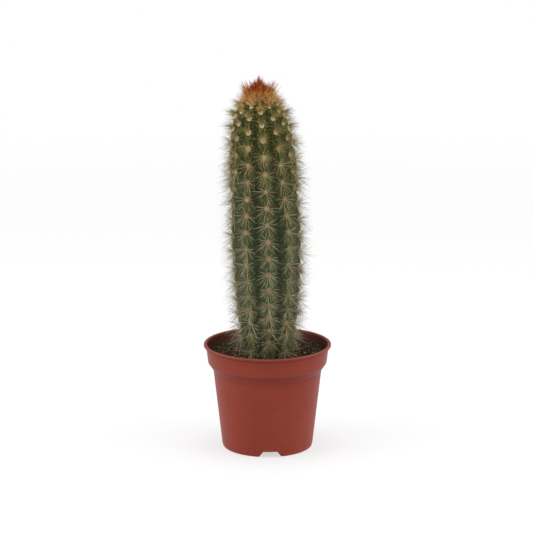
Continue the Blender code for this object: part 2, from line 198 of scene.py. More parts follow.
def polyline(value, points):
    # straight pieces between (x, y) points
    node = addNode("ShaderNodeFloatCurve", Value=value)
    curve = node.mapping.curves[0]
    for x, y in points[1:-1]:
        curve.points.new(x, y)
    curve.points[0].location = points[0]
    curve.points[-1].location = points[-1]
    for point in curve.points:
        point.handle_type = "VECTOR"
    node.mapping.update()
    return Wire(node.outputs[0])


def position():
    return made("GeometryNodeInputPosition")


def keep(geometry, **values):
    # stores numbers and vectors on the points, under their names
    for name, value in values.items():
        kind = "FLOAT_VECTOR" if isinstance(value, Wire) and value.socket.type == "VECTOR" else "FLOAT"
        geometry = made("GeometryNodeStoreNamedAttribute", {"data_type": kind, "domain": "POINT"},
                        Geometry=geometry, Name=name, Value=value)
    return geometry


def kept(name, kind="FLOAT"):
    node = addNode("GeometryNodeInputNamedAttribute", {"data_type": kind}, Name=name)
    return output(node, "Attribute")


def keptVector(name):
    return kept(name, "FLOAT_VECTOR")


def moved(geometry, **places):
    return made("GeometryNodeSetPosition", Geometry=geometry, **places)


def realized(geometry):
    return made("GeometryNodeRealizeInstances", Geometry=geometry)


def copied(points, thing, **placing):
    # a real copy of the thing on every point
    return realized(made("GeometryNodeInstanceOnPoints", Points=points, Instance=thing, **placing))


def scattered(mesh, density, seed):
    return addNode("GeometryNodeDistributePointsOnFaces", {"distribute_method": "RANDOM"}, Mesh=mesh,
                   Density=density, Seed=seed)


def together(first, second):
    both = addNode("GeometryNodeJoinGeometry")
    plug(both.inputs[0], first)
    plug(both.inputs[0], second)
    return output(both, "Geometry")


class GeoTree:
    # a geometry node group with named inputs, and the modifier that runs it

    def __init__(self, name, values, lengths="", angles="", plain=""):
        self.tree = bpy.data.node_groups.new(name, "GeometryNodeTree")
        workOn(self.tree)
        self.values = {key: values[key] * mm for key in lengths.split()}
        self.values.update({key: math.radians(values[key]) for key in angles.split()})
        self.values.update({key: values[key] for key in plain.split()})
        face = tree.interface
        face.new_socket("Geometry", in_out="INPUT", socket_type="NodeSocketGeometry")
        for key, value in self.values.items():
            kind = "NodeSocketInt" if isinstance(value, int) else "NodeSocketFloat"
            face.new_socket(key, in_out="INPUT", socket_type=kind)
        face.new_socket("Geometry", in_out="OUTPUT", socket_type="NodeSocketGeometry")
        self.entry = tree.nodes.new("NodeGroupInput")
        self.geometry = Wire(self.entry.outputs[0])

    def __getitem__(self, name):
        return Wire(self.entry.outputs[name])

    def finish(self, geometry, material, smooth=True):
        workOn(self.tree)
        shaded = made("GeometryNodeSetShadeSmooth", Geometry=realized(geometry), Shade_Smooth=smooth)
        painted = made("GeometryNodeSetMaterial", Geometry=shaded, Material=material)
        plug(tree.nodes.new("NodeGroupOutput").inputs[0], painted)

    def run(self, thing):
        modifier = thing.modifiers.new(self.tree.name, "NODES")
        modifier.node_group = self.tree
        for item in self.tree.interface.items_tree:
            if item.in_out == "INPUT" and item.name in self.values:
                modifier[item.identifier] = self.values[item.name]
        settle(thing)


def settle(thing):
    # the evaluated shape becomes the object's own plain mesh
    graph = bpy.context.evaluated_depsgraph_get()
    graph.update()
    shape = thing.evaluated_get(graph)
    mesh = bpy.data.meshes.new_from_object(shape, preserve_all_data_layers=True, depsgraph=graph)
    thing.modifiers.clear()
    thing.data = mesh


def addObject(name, mesh):
    thing = bpy.data.objects.new(name, mesh)
    scene.collection.objects.link(thing)
    return thing


def meshFrom(name, bm):
    mesh = bpy.data.meshes.new(name)
    bm.to_mesh(mesh)
    bm.free()
    return mesh


def meshAlong(name, points):
    # a bare line through the points, to be turned or read by nodes
    mesh = bpy.data.meshes.new(name)
    mesh.from_pydata(points, [(i, i + 1) for i in range(len(points) - 1)], [])
    return mesh


def standFor(thing, node):
    # the piece is seen in place of the solid, and never moves against it
    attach(thing, "root")
    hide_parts(node)


def grow(name, mesh, geo, node):
    # a piece that a node group grows on the mesh
    thing = addObject(name, mesh)
    geo.run(thing)
    standFor(thing, node)
    print(name, "has", len(thing.data.polygons), "faces")
    return thing


def newMaterial(name):
    material = bpy.data.materials.new(name)
    material.use_nodes = True
    workOn(material.node_tree)
    return material, tree.nodes["Principled BSDF"]


def setShader(shader, **values):
    for name, value in values.items():
        plug(shader.inputs[name.replace("_", " ")], value)


def ramp(value, stops):
    # colours along a value, as (place, (r, g, b))
    node = addNode("ShaderNodeValToRGB", Fac=value)
    while len(node.color_ramp.elements) < len(stops):
        node.color_ramp.elements.new(0.5)
    for element, (place, colour) in zip(node.color_ramp.elements, stops):
        element.position = place
        element.color = (*colour, 1.0)
    return Wire(node.outputs["Color"])


def blend(share, low, high):
    node = tree.nodes.new("ShaderNodeMix")
    node.data_type = "RGBA"
    plug(liveSocket(node.inputs, "Factor"), share)
    plug(liveSocket(node.inputs, "A"), low if isinstance(low, Wire) else (*low, 1.0))
    plug(liveSocket(node.inputs, "B"), high if isinstance(high, Wire) else (*high, 1.0))
    return Wire(liveSocket(node.outputs, "Result"))


def layered(colour, *layers):
    # each (share, colour) covers what lies under it
    for share, over in layers:
        colour = blend(share, colour, over)
    return colour


def noise(vector, scale, detail=3.0, roughness=0.55):
    return made("ShaderNodeTexNoise", Vector=vector, Scale=scale, Detail=detail, Roughness=roughness)


def objectPlace():
    return Wire(tree.nodes.new("ShaderNodeTexCoord").outputs["Object"])


def bumped(shader, height, relief, strength=1.0):
    # relief is in millimetres
    bump = made("ShaderNodeBump", Height=height, Distance=relief * mm, Strength=strength)
    plug(shader.inputs["Normal"], bump)


def attribute(name):
    node = tree.nodes.new("ShaderNodeAttribute")
    node.attribute_name = name
    return Wire(node.outputs["Fac"])


# camera, light and floor
view = {
    "focal": 147.5, "sensor": 36.0,  # millimetres
    "distance": 1.740, "height": 0.5598, "sideways": -0.00075,  # metres
    "pitch": 13.2,  # degrees down
    "reach": 20.0,  # metres that the camera sees
}

studio = {
    # softboxes: place and size in metres, and power in watts
    "left": {"place": (-1.5, -0.35, 0.75), "size": 1.3, "power": 13.0},
    "right": {"place": (1.5, -0.35, 0.75), "size": 1.3, "power": 11.5},
    "top": {"place": (0.0, 0.1, 1.9), "size": 1.8, "power": 20.0},
    "aim": (0.0, 0.0, 0.15),
    "sky": 0.5,  # the light that comes from everywhere
    "floorHalf": 6.0,
    "floorFades": (0.5, 1.6),  # where the floor turns into plain white
    "floorGlow": 0.6,  # how much of that white it has at the pot already
    "floorPale": ((0.9, 0.9, 0.9), (0.93, 0.93, 0.93)),
}


def makeCamera():
    camera = bpy.data.cameras.new("camera")
    camera.lens = view["focal"]
    camera.sensor_width = view["sensor"]
    camera.clip_end = view["reach"]
    thing = addObject("camera", camera)
    thing.location = (view["sideways"], -view["distance"], view["height"])
    thing.rotation_euler = (math.radians(90.0 - view["pitch"]), 0.0, 0.0)
    scene.camera = thing


def makeSoftbox(name):
    lamp = studio[name]
    light = bpy.data.lights.new(name, "AREA")
    light.size = lamp["size"]
    light.energy = lamp["power"]
    thing = addObject(name, light)
    thing.location = lamp["place"]
    toAim = Vector(studio["aim"]) - Vector(lamp["place"])
    thing.rotation_euler = toAim.to_track_quat("-Z", "Y").to_euler()


def mixedShader(share, low, high, end):
    mix = tree.nodes.new("ShaderNodeMixShader")
    plugAll(mix.inputs, (share, low.outputs[0], high.outputs[0]))
    tree.links.new(mix.outputs[0], tree.nodes[end].inputs["Surface"])


def makeSky():
    # it looks white, but lights the plant less than that
    sky = bpy.data.worlds.new("sky")
    sky.use_nodes = True
    workOn(sky.node_tree)
    lighting = tree.nodes["Background"]
    seen = tree.nodes.new("ShaderNodeBackground")
    setShader(lighting, Color=(1.0, 1.0, 1.0, 1.0), Strength=studio["sky"])
    setShader(seen, Color=(1.0, 1.0, 1.0, 1.0))
    toCamera = tree.nodes.new("ShaderNodeLightPath").outputs["Is Camera Ray"]
    mixedShader(toCamera, lighting, seen, "World Output")
    scene.world = sky
    scene.view_settings.view_transform = "Standard"


def makeFloor():
    bm = bmesh.new()
    bmesh.ops.create_grid(bm, x_segments=1, y_segments=1, size=studio["floorHalf"])
    floor = addObject("floor", meshFrom("floor", bm))
    material, shader = newMaterial("paleFloor")
    place = objectPlace()
    pale = blend(noise(place, 3.0), *studio["floorPale"])
    setShader(shader, Base_Color=pale, Roughness=0.9, Specular_IOR_Level=0.1)
    glow = tree.nodes.new("ShaderNodeEmission")
    away = vectors("LENGTH", place)
    fade = eased(away, *studio["floorFades"], studio["floorGlow"], 1.0)
    mixedShader(fade, shader, glow, "Material Output")
    floor.data.materials.append(material)


makeCamera()
for softbox in ("left", "right", "top"):
    makeSoftbox(softbox)
makeSky()
makeFloor()
print("camera, light and floor are set")


# nursery pot
pot = {
    # millimetres
    "rim": 52.5, "height": 86.8, "wall": 1.2,
    "lipHeight": 2.0, "lipStep": 1.9, "lipUndercut": 0.3,
    "mouthDepth": 1.4, "mouthSplay": 0.6, "mouthTaper": 0.1,
    "bandHeight": 15.2, "bandTaper": 1.6, "bandLiftInside": 0.4,
    "shoulderHeight": 6.4, "shoulderLiftInside": 0.6,
    "wallTop": 44.7, "wallFoot": 37.6, "footRise": 2.6,
    "foot": 36.5, "footWidth": 1.4, "footFlare": 0.4, "footLift": 0.25, "footTuck": 0.2,
    "floorUnder": 4.4, "floorThick": 1.4, "floorInset": 0.3,
    # the radius of each rounded corner, from the floor up the inside and down the outside
    "rounds": {
        "floor": 1.6, "shoulderInside": 1.5, "bandInside": 1.2, "mouth": 0.6,
        "lip": 0.55, "underLip": 0.35, "crease": 0.4, "band": 1.5, "shoulder": 2.2,
        "wallFoot": 1.6, "foot": 0.5, "ring": 0.3, "ringInside": 0.5,
    },
    "notches": 3, "notchTurn": 3.6,  # degrees from the front to the first notch
    "notchLow": 18.0, "notchHigh": 11.6, "notchHeight": 4.8, "notchLift": 0.4,
    "notchRound": 1.0, "notchFlare": 2.2,
    "cutWide": 4.7, "cutBelow": 0.8, "cutOutside": 6.0, "cutDepth": 9.2,  # how far a notch's cutter reaches
    "drains": 6, "drainRadius": 3.5, "drainCircle": 24.0, "drainDepth": 12.0, "drainSides": 32,
    "around": 192, "arcSteps": 5,
    "sharpFrom": 40.0,  # degrees between faces from which an edge stays sharp
}


def roundedPath(corners):
    # (x, z, radius) corners joined by arcs of their radius
    path = []
    for i, (x, z, radius) in enumerate(corners):
        here = Vector((x, z))
        if radius == 0.0 or i in (0, len(corners) - 1):
            path.append(here)
            continue
        before = Vector(corners[i - 1][:2]) - here
        after = Vector(corners[i + 1][:2]) - here
        cut = radius / math.tan(before.angle(after) / 2.0)
        cut = min(cut, before.length * 0.48, after.length * 0.48)  # two arcs never meet on one side
        start = here + before.normalized() * cut
        end = here + after.normalized() * cut
        for step in range(pot["arcSteps"] + 1):
            t = step / pot["arcSteps"]
            path.append(start * (1 - t) ** 2 + here * (2 * t * (1 - t)) + end * t * t)
    return path


def potProfile():
    p = pot
    r = p["rounds"]
    bandTop = p["height"] - p["lipHeight"]
    bandFoot = p["height"] - p["bandHeight"]
    shoulderFoot = bandFoot - p["shoulderHeight"]
    bandRadius = p["rim"] - p["lipStep"]
    mouth = bandRadius - p["wall"]
    floorTop = p["floorUnder"] + p["floorThick"]
    ringInside = p["foot"] - p["footWidth"]
    return roundedPath([
        (0.0, floorTop, 0.0),
        (p["wallFoot"] - p["wall"] - p["floorInset"], floorTop, r["floor"]),
        (p["wallTop"] - p["wall"], shoulderFoot + p["shoulderLiftInside"], r["shoulderInside"]),
        (mouth - p["bandTaper"], bandFoot + p["bandLiftInside"], r["bandInside"]),
        (mouth - p["mouthTaper"], p["height"] - p["mouthDepth"], r["mouth"]),
        (mouth + p["mouthSplay"], p["height"], r["mouth"]),
        (p["rim"], p["height"], r["lip"]),
        (p["rim"], bandTop + p["lipUndercut"], r["underLip"]),
        (bandRadius, bandTop - p["lipUndercut"], r["crease"]),
        (bandRadius - p["bandTaper"], bandFoot, r["band"]),
        (p["wallTop"], shoulderFoot, r["shoulder"]),
        (p["wallFoot"], p["footRise"], r["wallFoot"]),
        (p["foot"] + p["footFlare"], p["footLift"], r["foot"]),
        (p["foot"] - p["footTuck"], 0.0, r["ring"]),
        (ringInside, 0.0, r["ring"]),
        (ringInside, p["floorUnder"], r["ringInside"]),
        (0.0, p["floorUnder"], 0.0),
    ])


def potInside(height):
    # the pot's inner radius, where its profile first climbs past a height
    path = potProfile()
    rising = [(low, high) for low, high in zip(path, path[1:]) if low.y < high.y]
    low, high = next((low, high) for low, high in rising if low.y <= height <= high.y)
    return low.x + (high.x - low.x) * (height - low.y) / (high.y - low.y)


def turned(name, path):
    thing = addObject(name, meshAlong(name, [(point.x * mm, 0.0, point.y * mm) for point in path]))
    screw = thing.modifiers.new("turn", "SCREW")
    screw.steps = pot["around"]
    screw.render_steps = pot["around"]
    screw.use_merge_vertices = True
    screw.merge_threshold = 0.01 * mm
    return thing


def placeRound(bm, part, index, count):
    # the cutters stand round the pot, from the first notch on
    turn = math.radians(pot["notchTurn"] + 360 / count * index)
    bm.transform(Matrix.Rotation(turn, 4, "Z"))
    return addObject(part, meshFrom(part, bm))


def notchCutter(index):
    # an outline with soft upper corners and flared feet, drawn out through the wall
    p = pot
    low, high = p["notchLow"] / 2, p["notchHigh"] / 2
    half = [
        (-low - p["cutWide"], -p["cutBelow"], 0.0),
        (-low, p["notchLift"], p["notchFlare"]),
        (-high, p["notchHeight"], p["notchRound"]),
    ]
    corners = half + [(-x, z, radius) for x, z, radius in reversed(half)]
    outside = -p["foot"] - p["cutOutside"]
    bm = bmesh.new()
    outer = [bm.verts.new((point.x * mm, outside * mm, point.y * mm)) for point in roundedPath(corners)]
    drawn = bmesh.ops.extrude_face_region(bm, geom=[bm.faces.new(outer)])["geom"]
    inner = [item for item in drawn if isinstance(item, bmesh.types.BMVert)]
    bmesh.ops.translate(bm, verts=inner, vec=(0.0, p["cutDepth"] * mm, 0.0))
    bmesh.ops.recalc_face_normals(bm, faces=bm.faces)
    return placeRound(bm, "notchCutter", index, p["notches"])


def drainCutter(index):
    bm = bmesh.new()
    radius = pot["drainRadius"] * mm
    bmesh.ops.create_cone(bm, cap_ends=True, segments=pot["drainSides"], radius1=radius, radius2=radius,
                          depth=pot["drainDepth"] * mm)
    bmesh.ops.translate(bm, verts=bm.verts, vec=(0.0, -pot["drainCircle"] * mm, pot["floorUnder"] * mm))
    return placeRound(bm, "drainCutter", index, pot["drains"])


plasticLook = {
    # spans and heights are in millimetres
    "dark": (0.215, 0.026, 0.012), "light": (0.250, 0.033, 0.016), "flow": (0.28, 0.042, 0.021),
    "chalk": (0.36, 0.13, 0.09), "chalkSpan": (0.0, 22.0),
    "scuff": (0.5, 0.25, 0.19),
    # the first colour here is painted shade, for the corner under the rim band
    "grime": (0.085, 0.006, 0.001), "grimeBelowBand": 2.3, "grimeFade": 14.0, "grimeAbove": 0.6,
    # the crease colour is a painted shadow, a thin line under the lip
    "crease": (0.085, 0.008, 0.003), "creaseSpan": (0.3, 1.2), "creaseBelowLip": 0.2,
    # underLip is painted shade, darker up the band towards the overhanging lip
    "underLip": (0.10, 0.013, 0.007), "underLipFade": 4.0,
    # the next colour is a painted highlight on the rim's top edge
    "worn": (0.36, 0.12, 0.08), "wornFrom": 0.75, "wornTo": 0.2,  # below the rim's top
    # peat stain and painted shade for the pot's inside
    "peatStain": (0.076, 0.037, 0.028),
    "glow": (0.004, 0.001, 0.0006),  # metres that red, green and blue light travel inside
    "relief": 0.12,
}


def potPlastic():
    c = plasticLook
    material, shader = newMaterial("potPlastic")
    place = objectPlace()
    x, y, z = parted(place)
    angle = maths("ARCTAN2", x, y)
    cloud = noise(place, 28.0, 4.0)
    flow = noise(joined(angle * 0.6, 0.0, z * 60.0), 4.0, 3.0)
    # a chalky bloom towards the foot, and a few pale scuffs
    dust = noise(place, 90.0, 6.0, 0.65)
    low = easedOver(z, c["chalkSpan"], 1.0, 0.0)
    bloom = eased(dust, 0.52, 0.75) * (low * 0.2 + 0.05)
    streaks = noise(joined(angle * 14.0, 0.0, z * 12.0), 3.0, 5.0, 0.6)
    scuff = eased(streaks, 0.68, 0.76) * eased(dust, 0.45, 0.7)
    # painted shade in the corner under the rim band, and painted shadow and shade under the lip
    bandFoot = pot["height"] - pot["bandHeight"]
    corner = bandFoot - c["grimeBelowBand"]
    fromAbove = easedOver(z, (corner, bandFoot + c["grimeAbove"]), 1.0, 0.0)
    fromBelow = easedOver(z, (corner - c["grimeFade"], corner)) ** 2.0
    # a painted shadow in a thin line under the lip
    lipFoot = pot["height"] - pot["lipHeight"] - c["creaseBelowLip"]
    crease = easedOver(maths("ABSOLUTE", z - lipFoot * mm), c["creaseSpan"], 1.0, 0.0)
    # painted shade down the band's top, under the lip
    underLip = easedOver(z, (bandFoot + c["underLipFade"], lipFoot), 0.0, 0.16)
    # a painted highlight on the rim's top edge
    rimTop = easedOver(z, (pot["height"] - c["wornFrom"], pot["height"] - c["wornTo"]))
    # peat stains and painted shade on the inside
    normal = Wire(tree.nodes.new("ShaderNodeNewGeometry").outputs["Normal"])
    facing = vectors("DOT_PRODUCT", normal, vectors("NORMALIZE", joined(x, y, 0.0)))
    inside = eased(facing, -0.6, -0.2, 1.0, 0.0)
    base = layered(
        ramp(cloud, [(0.3, c["dark"]), (0.7, c["light"])]),
        (flow * 0.25, c["flow"]),
        (bloom, c["chalk"]),
        (scuff * 0.22, c["scuff"]),
        # painted shade in the corner under the rim band
        (fromAbove * fromBelow * (0.42 + flow * 0.2), c["grime"]),
        # painted shadow in a thin line under the lip
        (crease * 0.5, c["crease"]),
        # painted shade down the band's top, under the lip
        (underLip, c["underLip"]),
        # painted highlight on the rim's top edge, broken up by noise
        (rimTop * (0.12 + dust * 0.4), c["worn"]),
        # peat stain and painted shade on the inside wall
        (inside * (0.32 + eased(dust, 0.35, 0.6) * 0.3), c["peatStain"]),
    )
    setShader(shader, Base_Color=base, Roughness=0.40 + cloud * 0.14 + bloom * 0.4 + inside * 0.2,
              Specular_IOR_Level=0.2, Subsurface_Weight=0.03, Subsurface_Radius=c["glow"])
    fine = noise(place, 900.0, 2.0)
    bumped(shader, fine * 0.25 + flow * 0.6 + scuff * 0.2, c["relief"], 0.5)
    return material


def makePot():
    thing = turned("potShell", potProfile())
    cutters = [notchCutter(i) for i in range(pot["notches"])] + [drainCutter(i) for i in range(pot["drains"])]
    for cutter in cutters:
        boolean = thing.modifiers.new("cut", "BOOLEAN")
        boolean.operation = "DIFFERENCE"
        boolean.object = cutter
    settle(thing)
    for cutter in cutters:
        bpy.data.objects.remove(cutter)
    thing.data.shade_smooth()
    thing.data.set_sharp_from_angle(angle=math.radians(pot["sharpFrom"]))
    thing.data.materials.append(potPlastic())
    standFor(thing, "nursery_pot")


makePot()
print("the pot is turned")


# stem
stem = {
    # (crest radius, height) in millimetres, from the buried foot to the growing point
    "outline": [
        (17.0, 57.3), (21.4, 64.8), (22.4, 78.8), (23.3, 99.8), (26.0, 122.8), (28.2, 160.8),
        (28.5, 195.8), (27.4, 233.8), (24.6, 260.8), (18.8, 280.8), (11.8, 288.8),
    ],
    "outlineSteps": 24,
    # both ends close on the axis, as (share of the end's radius, millimetres above the end)
    "footCap": [(0.0, -1.5), (0.6, -1.2)],
    "topCap": [(0.72, 1.6), (0.4, 2.5), (0.0, 2.8)],
    "soil": 78.8,
    "lean": 6.8, "leanPower": 2.2,
    "turn": 3.5,  # degrees from the front to the front rib
    "oldRibs": 9, "newAfter": (2, 4, 6),
    "spreadFrom": 169.0, "spreadTo": 247.0,
    "newFrom": 185.0, "newTo": 223.0, "newBare": 215.0,
    "ribDepth": 5.6, "ribDepthFoot": 3.6, "ribDepthGrowth": 50.0, "ribDepthShare": 0.2, "buriedFade": 12.0,
    "ribRoundness": 1.6,
    "scallop": 2.0, "swell": 0.9,
    "crease": 0.16,
    "firstAreole": 92.8, "lastAreole": 1.0,
    "pitch": 13.7, "pitchFoot": 0.66, "pitchGrowth": 0.06, "pitchApex": 7.5, "pitchSlope": 0.14,
    "rowsBuried": 36, "rowsPerPitch": 24, "columnsPerRib": 14,
}


def smoothCurve(points, samples):
    keys = [Vector(point) for point in points]
    keys = [keys[0] * 2 - keys[1], *keys, keys[-1] * 2 - keys[-2]]
    curve = []
    for i in range(1, len(keys) - 2):
        before, start, end, after = keys[i - 1:i + 3]
        for step in range(samples):
            t = step / samples
            square = 2 * before - 5 * start + 4 * end - after
            cubic = 3 * start - before - 3 * end + after
            curve.append(start + ((end - before) * t + square * t**2 + cubic * t**3) / 2)
    curve.append(keys[-2])
    return curve


class Outline:
    # the crest's line, measured along its length

    def __init__(self):
        self.points = smoothCurve(stem["outline"], stem["outlineSteps"])
        self.walked = [0.0]
        for last, here in zip(self.points, self.points[1:]):
            self.walked.append(self.walked[-1] + (here - last).length)
        self.length = self.walked[-1]

    def at(self, distance):
        i = 1
        while i < len(self.walked) - 1 and self.walked[i] < distance:
            i += 1
        share = (distance - self.walked[i - 1]) / (self.walked[i] - self.walked[i - 1])
        return self.points[i - 1].lerp(self.points[i], share)

    def stations(self):
        # where the even ribs bear their areoles
        distance = next(d for d, point in zip(self.walked, self.points) if point.y >= stem["firstAreole"])
        found = []
        while self.length - distance > stem["lastAreole"]:
            found.append(distance)
            young = stem["pitchApex"] + stem["pitchSlope"] * (self.length - distance)
            old = stem["pitch"] * (stem["pitchFoot"] + stem["pitchGrowth"] * len(found))
            distance += min(stem["pitch"], young, old)
        return found


outline = Outline()
stations = outline.stations()


def storeNumbers(mesh, **attributes):
    for name, values in attributes.items():
        mesh.attributes.new(name, "FLOAT", "POINT").data.foreach_set("value", values)


def storeVectors(mesh, **attributes):
    for name, values in attributes.items():
        flat = [number for vector in values for number in vector]
        mesh.attributes.new(name, "FLOAT_VECTOR", "POINT").data.foreach_set("vector", flat)


def stemGuide():
    # one vertex for each ring of the skin, with the count of areoles passed so far
    buried, rows = stem["rowsBuried"], stem["rowsPerPitch"]
    rings = [(stations[0] * i / buried, -2.0 + 2.0 * i / buried) for i in range(buried)]
    stops = [*stations, outline.length]
    for i, (low, high) in enumerate(zip(stops, stops[1:])):
        rings += [(low + (high - low) * step / rows, i + step / rows) for step in range(rows)]
    rings.append((outline.length, float(len(stations))))
    points = [outline.at(distance) for distance, _ in rings]
    foot, top = points[0], points[-1]
    points = [
        *[(foot.x * share, foot.y + rise) for share, rise in stem["footCap"]],
        *points,
        *[(top.x * share, top.y + rise) for share, rise in stem["topCap"]],
    ]
    # the caps go on with the numbers of the rings that they close
    rings = [rings[0]] * len(stem["footCap"]) + rings + [rings[-1]] * len(stem["topCap"])
    guide = meshAlong("stemGuide", [(radius * mm, 0.0, height * mm) for radius, height in points])
    storeNumbers(guide, phase=[phase for _, phase in rings],
                 age=[(outline.length - distance) * mm for distance, _ in rings])
    return guide


def ribPlaces():
    # each rib's share of a turn at the foot, and whether it is an old one
    wide = 1.0 / stem["oldRibs"]
    places = []
    for i in range(stem["oldRibs"]):
        places.append((wide * i, True))
        if i in stem["newAfter"]:
            places.append((wide * (i + 0.5), False))
    return places


def stemTree(skin):
    places = ribPlaces()
    count = len(places)
    s = {name: value * mm for name, value in stem.items() if isinstance(value, float)}
    geo = GeoTree("ribbedStem", {**stem, "ribs": count, "columns": count * stem["columnsPerRib"]},
                  lengths="ribDepth ribDepthFoot scallop lean crease", angles="turn",
                  plain="ribs columns ribRoundness swell leanPower")
    guide = geo.geometry
    rows = made("GeometryNodeAttributeDomainSize", {"component": "MESH"}, Geometry=guide)
    grid = made("GeometryNodeMeshGrid", Size_X=1.0, Size_Y=1.0, Vertices_X=geo["columns"] + 1,
                Vertices_Y=rows)
    x, y, _ = parted(position())
    u = x + 0.5
    row = maths("ROUND", (y + 0.5) * (rows - 1))

    def fromGuide(value, kind, index):
        node = addNode("GeometryNodeSampleIndex", {"data_type": kind, "domain": "POINT", "clamp": True},
                       Geometry=guide, Value=value, Index=index)
        return output(node, "Value")

    radius, _, height = parted(fromGuide(position(), "FLOAT_VECTOR", row))
    radiusOn, _, heightOn = parted(fromGuide(position(), "FLOAT_VECTOR", row + 1))
    radiusOff, _, heightOff = parted(fromGuide(position(), "FLOAT_VECTOR", row - 1))
    phase = fromGuide(kept("phase"), "FLOAT", row)
    age = fromGuide(kept("age"), "FLOAT", row)

    # where the ribs stand: wide apart at the foot, closer above, with new ones between
    rib = u * geo["ribs"]
    footTurn = polyline(u, [(i / count, place) for i, (place, _) in enumerate(places)] + [(1.0, 1.0)])
    gather = eased(height, s["spreadFrom"], s["spreadTo"])
    angle = geo["turn"] + math.tau * mixed(footTurn, u, gather)
    oldCrests = [i for i, (_, old) in enumerate(places) if old] + [count]
    zigzag = [(0.0, 0.0)]
    for low, high in zip(oldCrests, oldCrests[1:]):
        zigzag += [((low + high) / 2 / count, 1.0), (high / count, 0.0)]
    offOld = polyline(u, zigzag)
    offAll = maths("PINGPONG", rib, 0.5) * 2.0
    awake = eased(height, s["newFrom"], s["newTo"])
    off = maths("MINIMUM", positive(mixed(offOld, offAll, awake)), 1.0)

    # how deep the furrows are, and how the crest dips at each areole
    unburied = eased(height, s["soil"] - s["buriedFade"], s["soil"])
    grown = eased(height, s["soil"], s["soil"] + s["ribDepthGrowth"])
    depth = mixed(geo["ribDepthFoot"], geo["ribDepth"], grown)
    depth = maths("MINIMUM", depth, radius * stem["ribDepthShare"]) * unburied
    parity = maths("MODULO", maths("ROUND", rib), 2.0)
    ownPhase = phase - parity * 0.5
    near = maths("COSINE", ownPhase * math.tau) * 0.5 + 0.5
    near = near ** 1.4 * eased(phase, -0.7, -0.3)
    dip = geo["scallop"] * near * (1.0 - off) * unburied
    roundness = geo["ribRoundness"] + geo["swell"] * (0.5 - near)
    drop = depth * off ** roundness + dip

    # faint creases across the ribs
    sine, cosine = sineCosine(angle)
    wrinkle = noise(joined(sine * 1.5, cosine * 1.5, height * 320.0), 1.0, 3.0, 0.6) - 0.5
    lumps = noise(joined(sine * radius, cosine * radius, height), 95.0, 2.0) - 0.5
    reach = radius - drop + (wrinkle * 2.0 + lumps * 3.0) * geo["crease"] * unburied
    reach = positive(reach)
    climb = positive((height - s["soil"]) / leaningHeight())
    onAxis = joined(0.0 - geo["lean"] * climb ** geo["leanPower"], 0.0, height)
    across = joined(sine, 0.0 - cosine, 0.0)
    where = total((1.0, onAxis), (reach, across))
    along = total((radiusOn - radiusOff, across), (heightOn - heightOff, (0.0, 0.0, 1.0)))

    # areoles: where a crest meets a whole count of its own rows
    onCrest = maths("COMPARE", maths("FRACT", rib + 0.5), 0.5, 0.01)
    whole = maths("COMPARE", maths("FRACT", ownPhase + 0.5), 0.5, 0.005)
    isNew = maths("GREATER_THAN", offOld, 0.99)
    grownEnough = maths("MAXIMUM", 1.0 - isNew, maths("GREATER_THAN", height, s["newBare"]))
    inRange = maths("GREATER_THAN", phase, -0.6) * maths("LESS_THAN", phase, len(stations) - 0.2)
    areole = onCrest * whole * grownEnough * inRange

    mesh = keep(grid, areole=areole, along=along, furrow=off, near=near, age=age,
                station=ownPhase, place=where)
    mesh = moved(mesh, Position=keptVector("place"))
    mesh = made("GeometryNodeMergeByDistance", Geometry=mesh, Distance=0.002 * mm)
    geo.finish(mesh, skin)
    return geo


def leaningHeight():
    # the height over which the stem leans, in metres
    return (stem["outline"][-1][1] - stem["soil"]) * mm


def axisShift(z):
    climb = max(0.0, (z - stem["soil"] * mm) / leaningHeight())
    return -stem["lean"] * mm * climb ** stem["leanPower"]


skinLook = {
    # spans are heights in millimetres
    "deep": (0.029, 0.043, 0.013), "fresh": (0.056, 0.072, 0.020), "patch": (0.018, 0.045, 0.010),
    "young": (0.041, 0.057, 0.001), "youngSpan": (175.0, 275.0),
    "old": (0.090, 0.100, 0.033), "oldBlotch": (0.140, 0.140, 0.022), "oldSpan": (95.0, 190.0),
    # furrow is painted shade, for the furrows between the ribs
    "furrow": (0.011, 0.019, 0.006), "crest": (0.10, 0.12, 0.03), "bloom": (0.14, 0.16, 0.085),
    "paleMottle": (0.080, 0.110, 0.026), "darkMottle": (0.009, 0.015, 0.005),
    "ochreSpeck": (0.20, 0.160, 0.028), "brownSpeck": (0.012, 0.012, 0.001),
    "streak": (0.17, 0.165, 0.035), "streakSpan": (95.0, 135.0),
    "cork": (0.10, 0.075, 0.035), "corkSpan": (78.0, 96.0),
    "glow": (0.001, 0.002, 0.0006),  # metres that red, green and blue light travel inside
    "relief": 0.15,
}


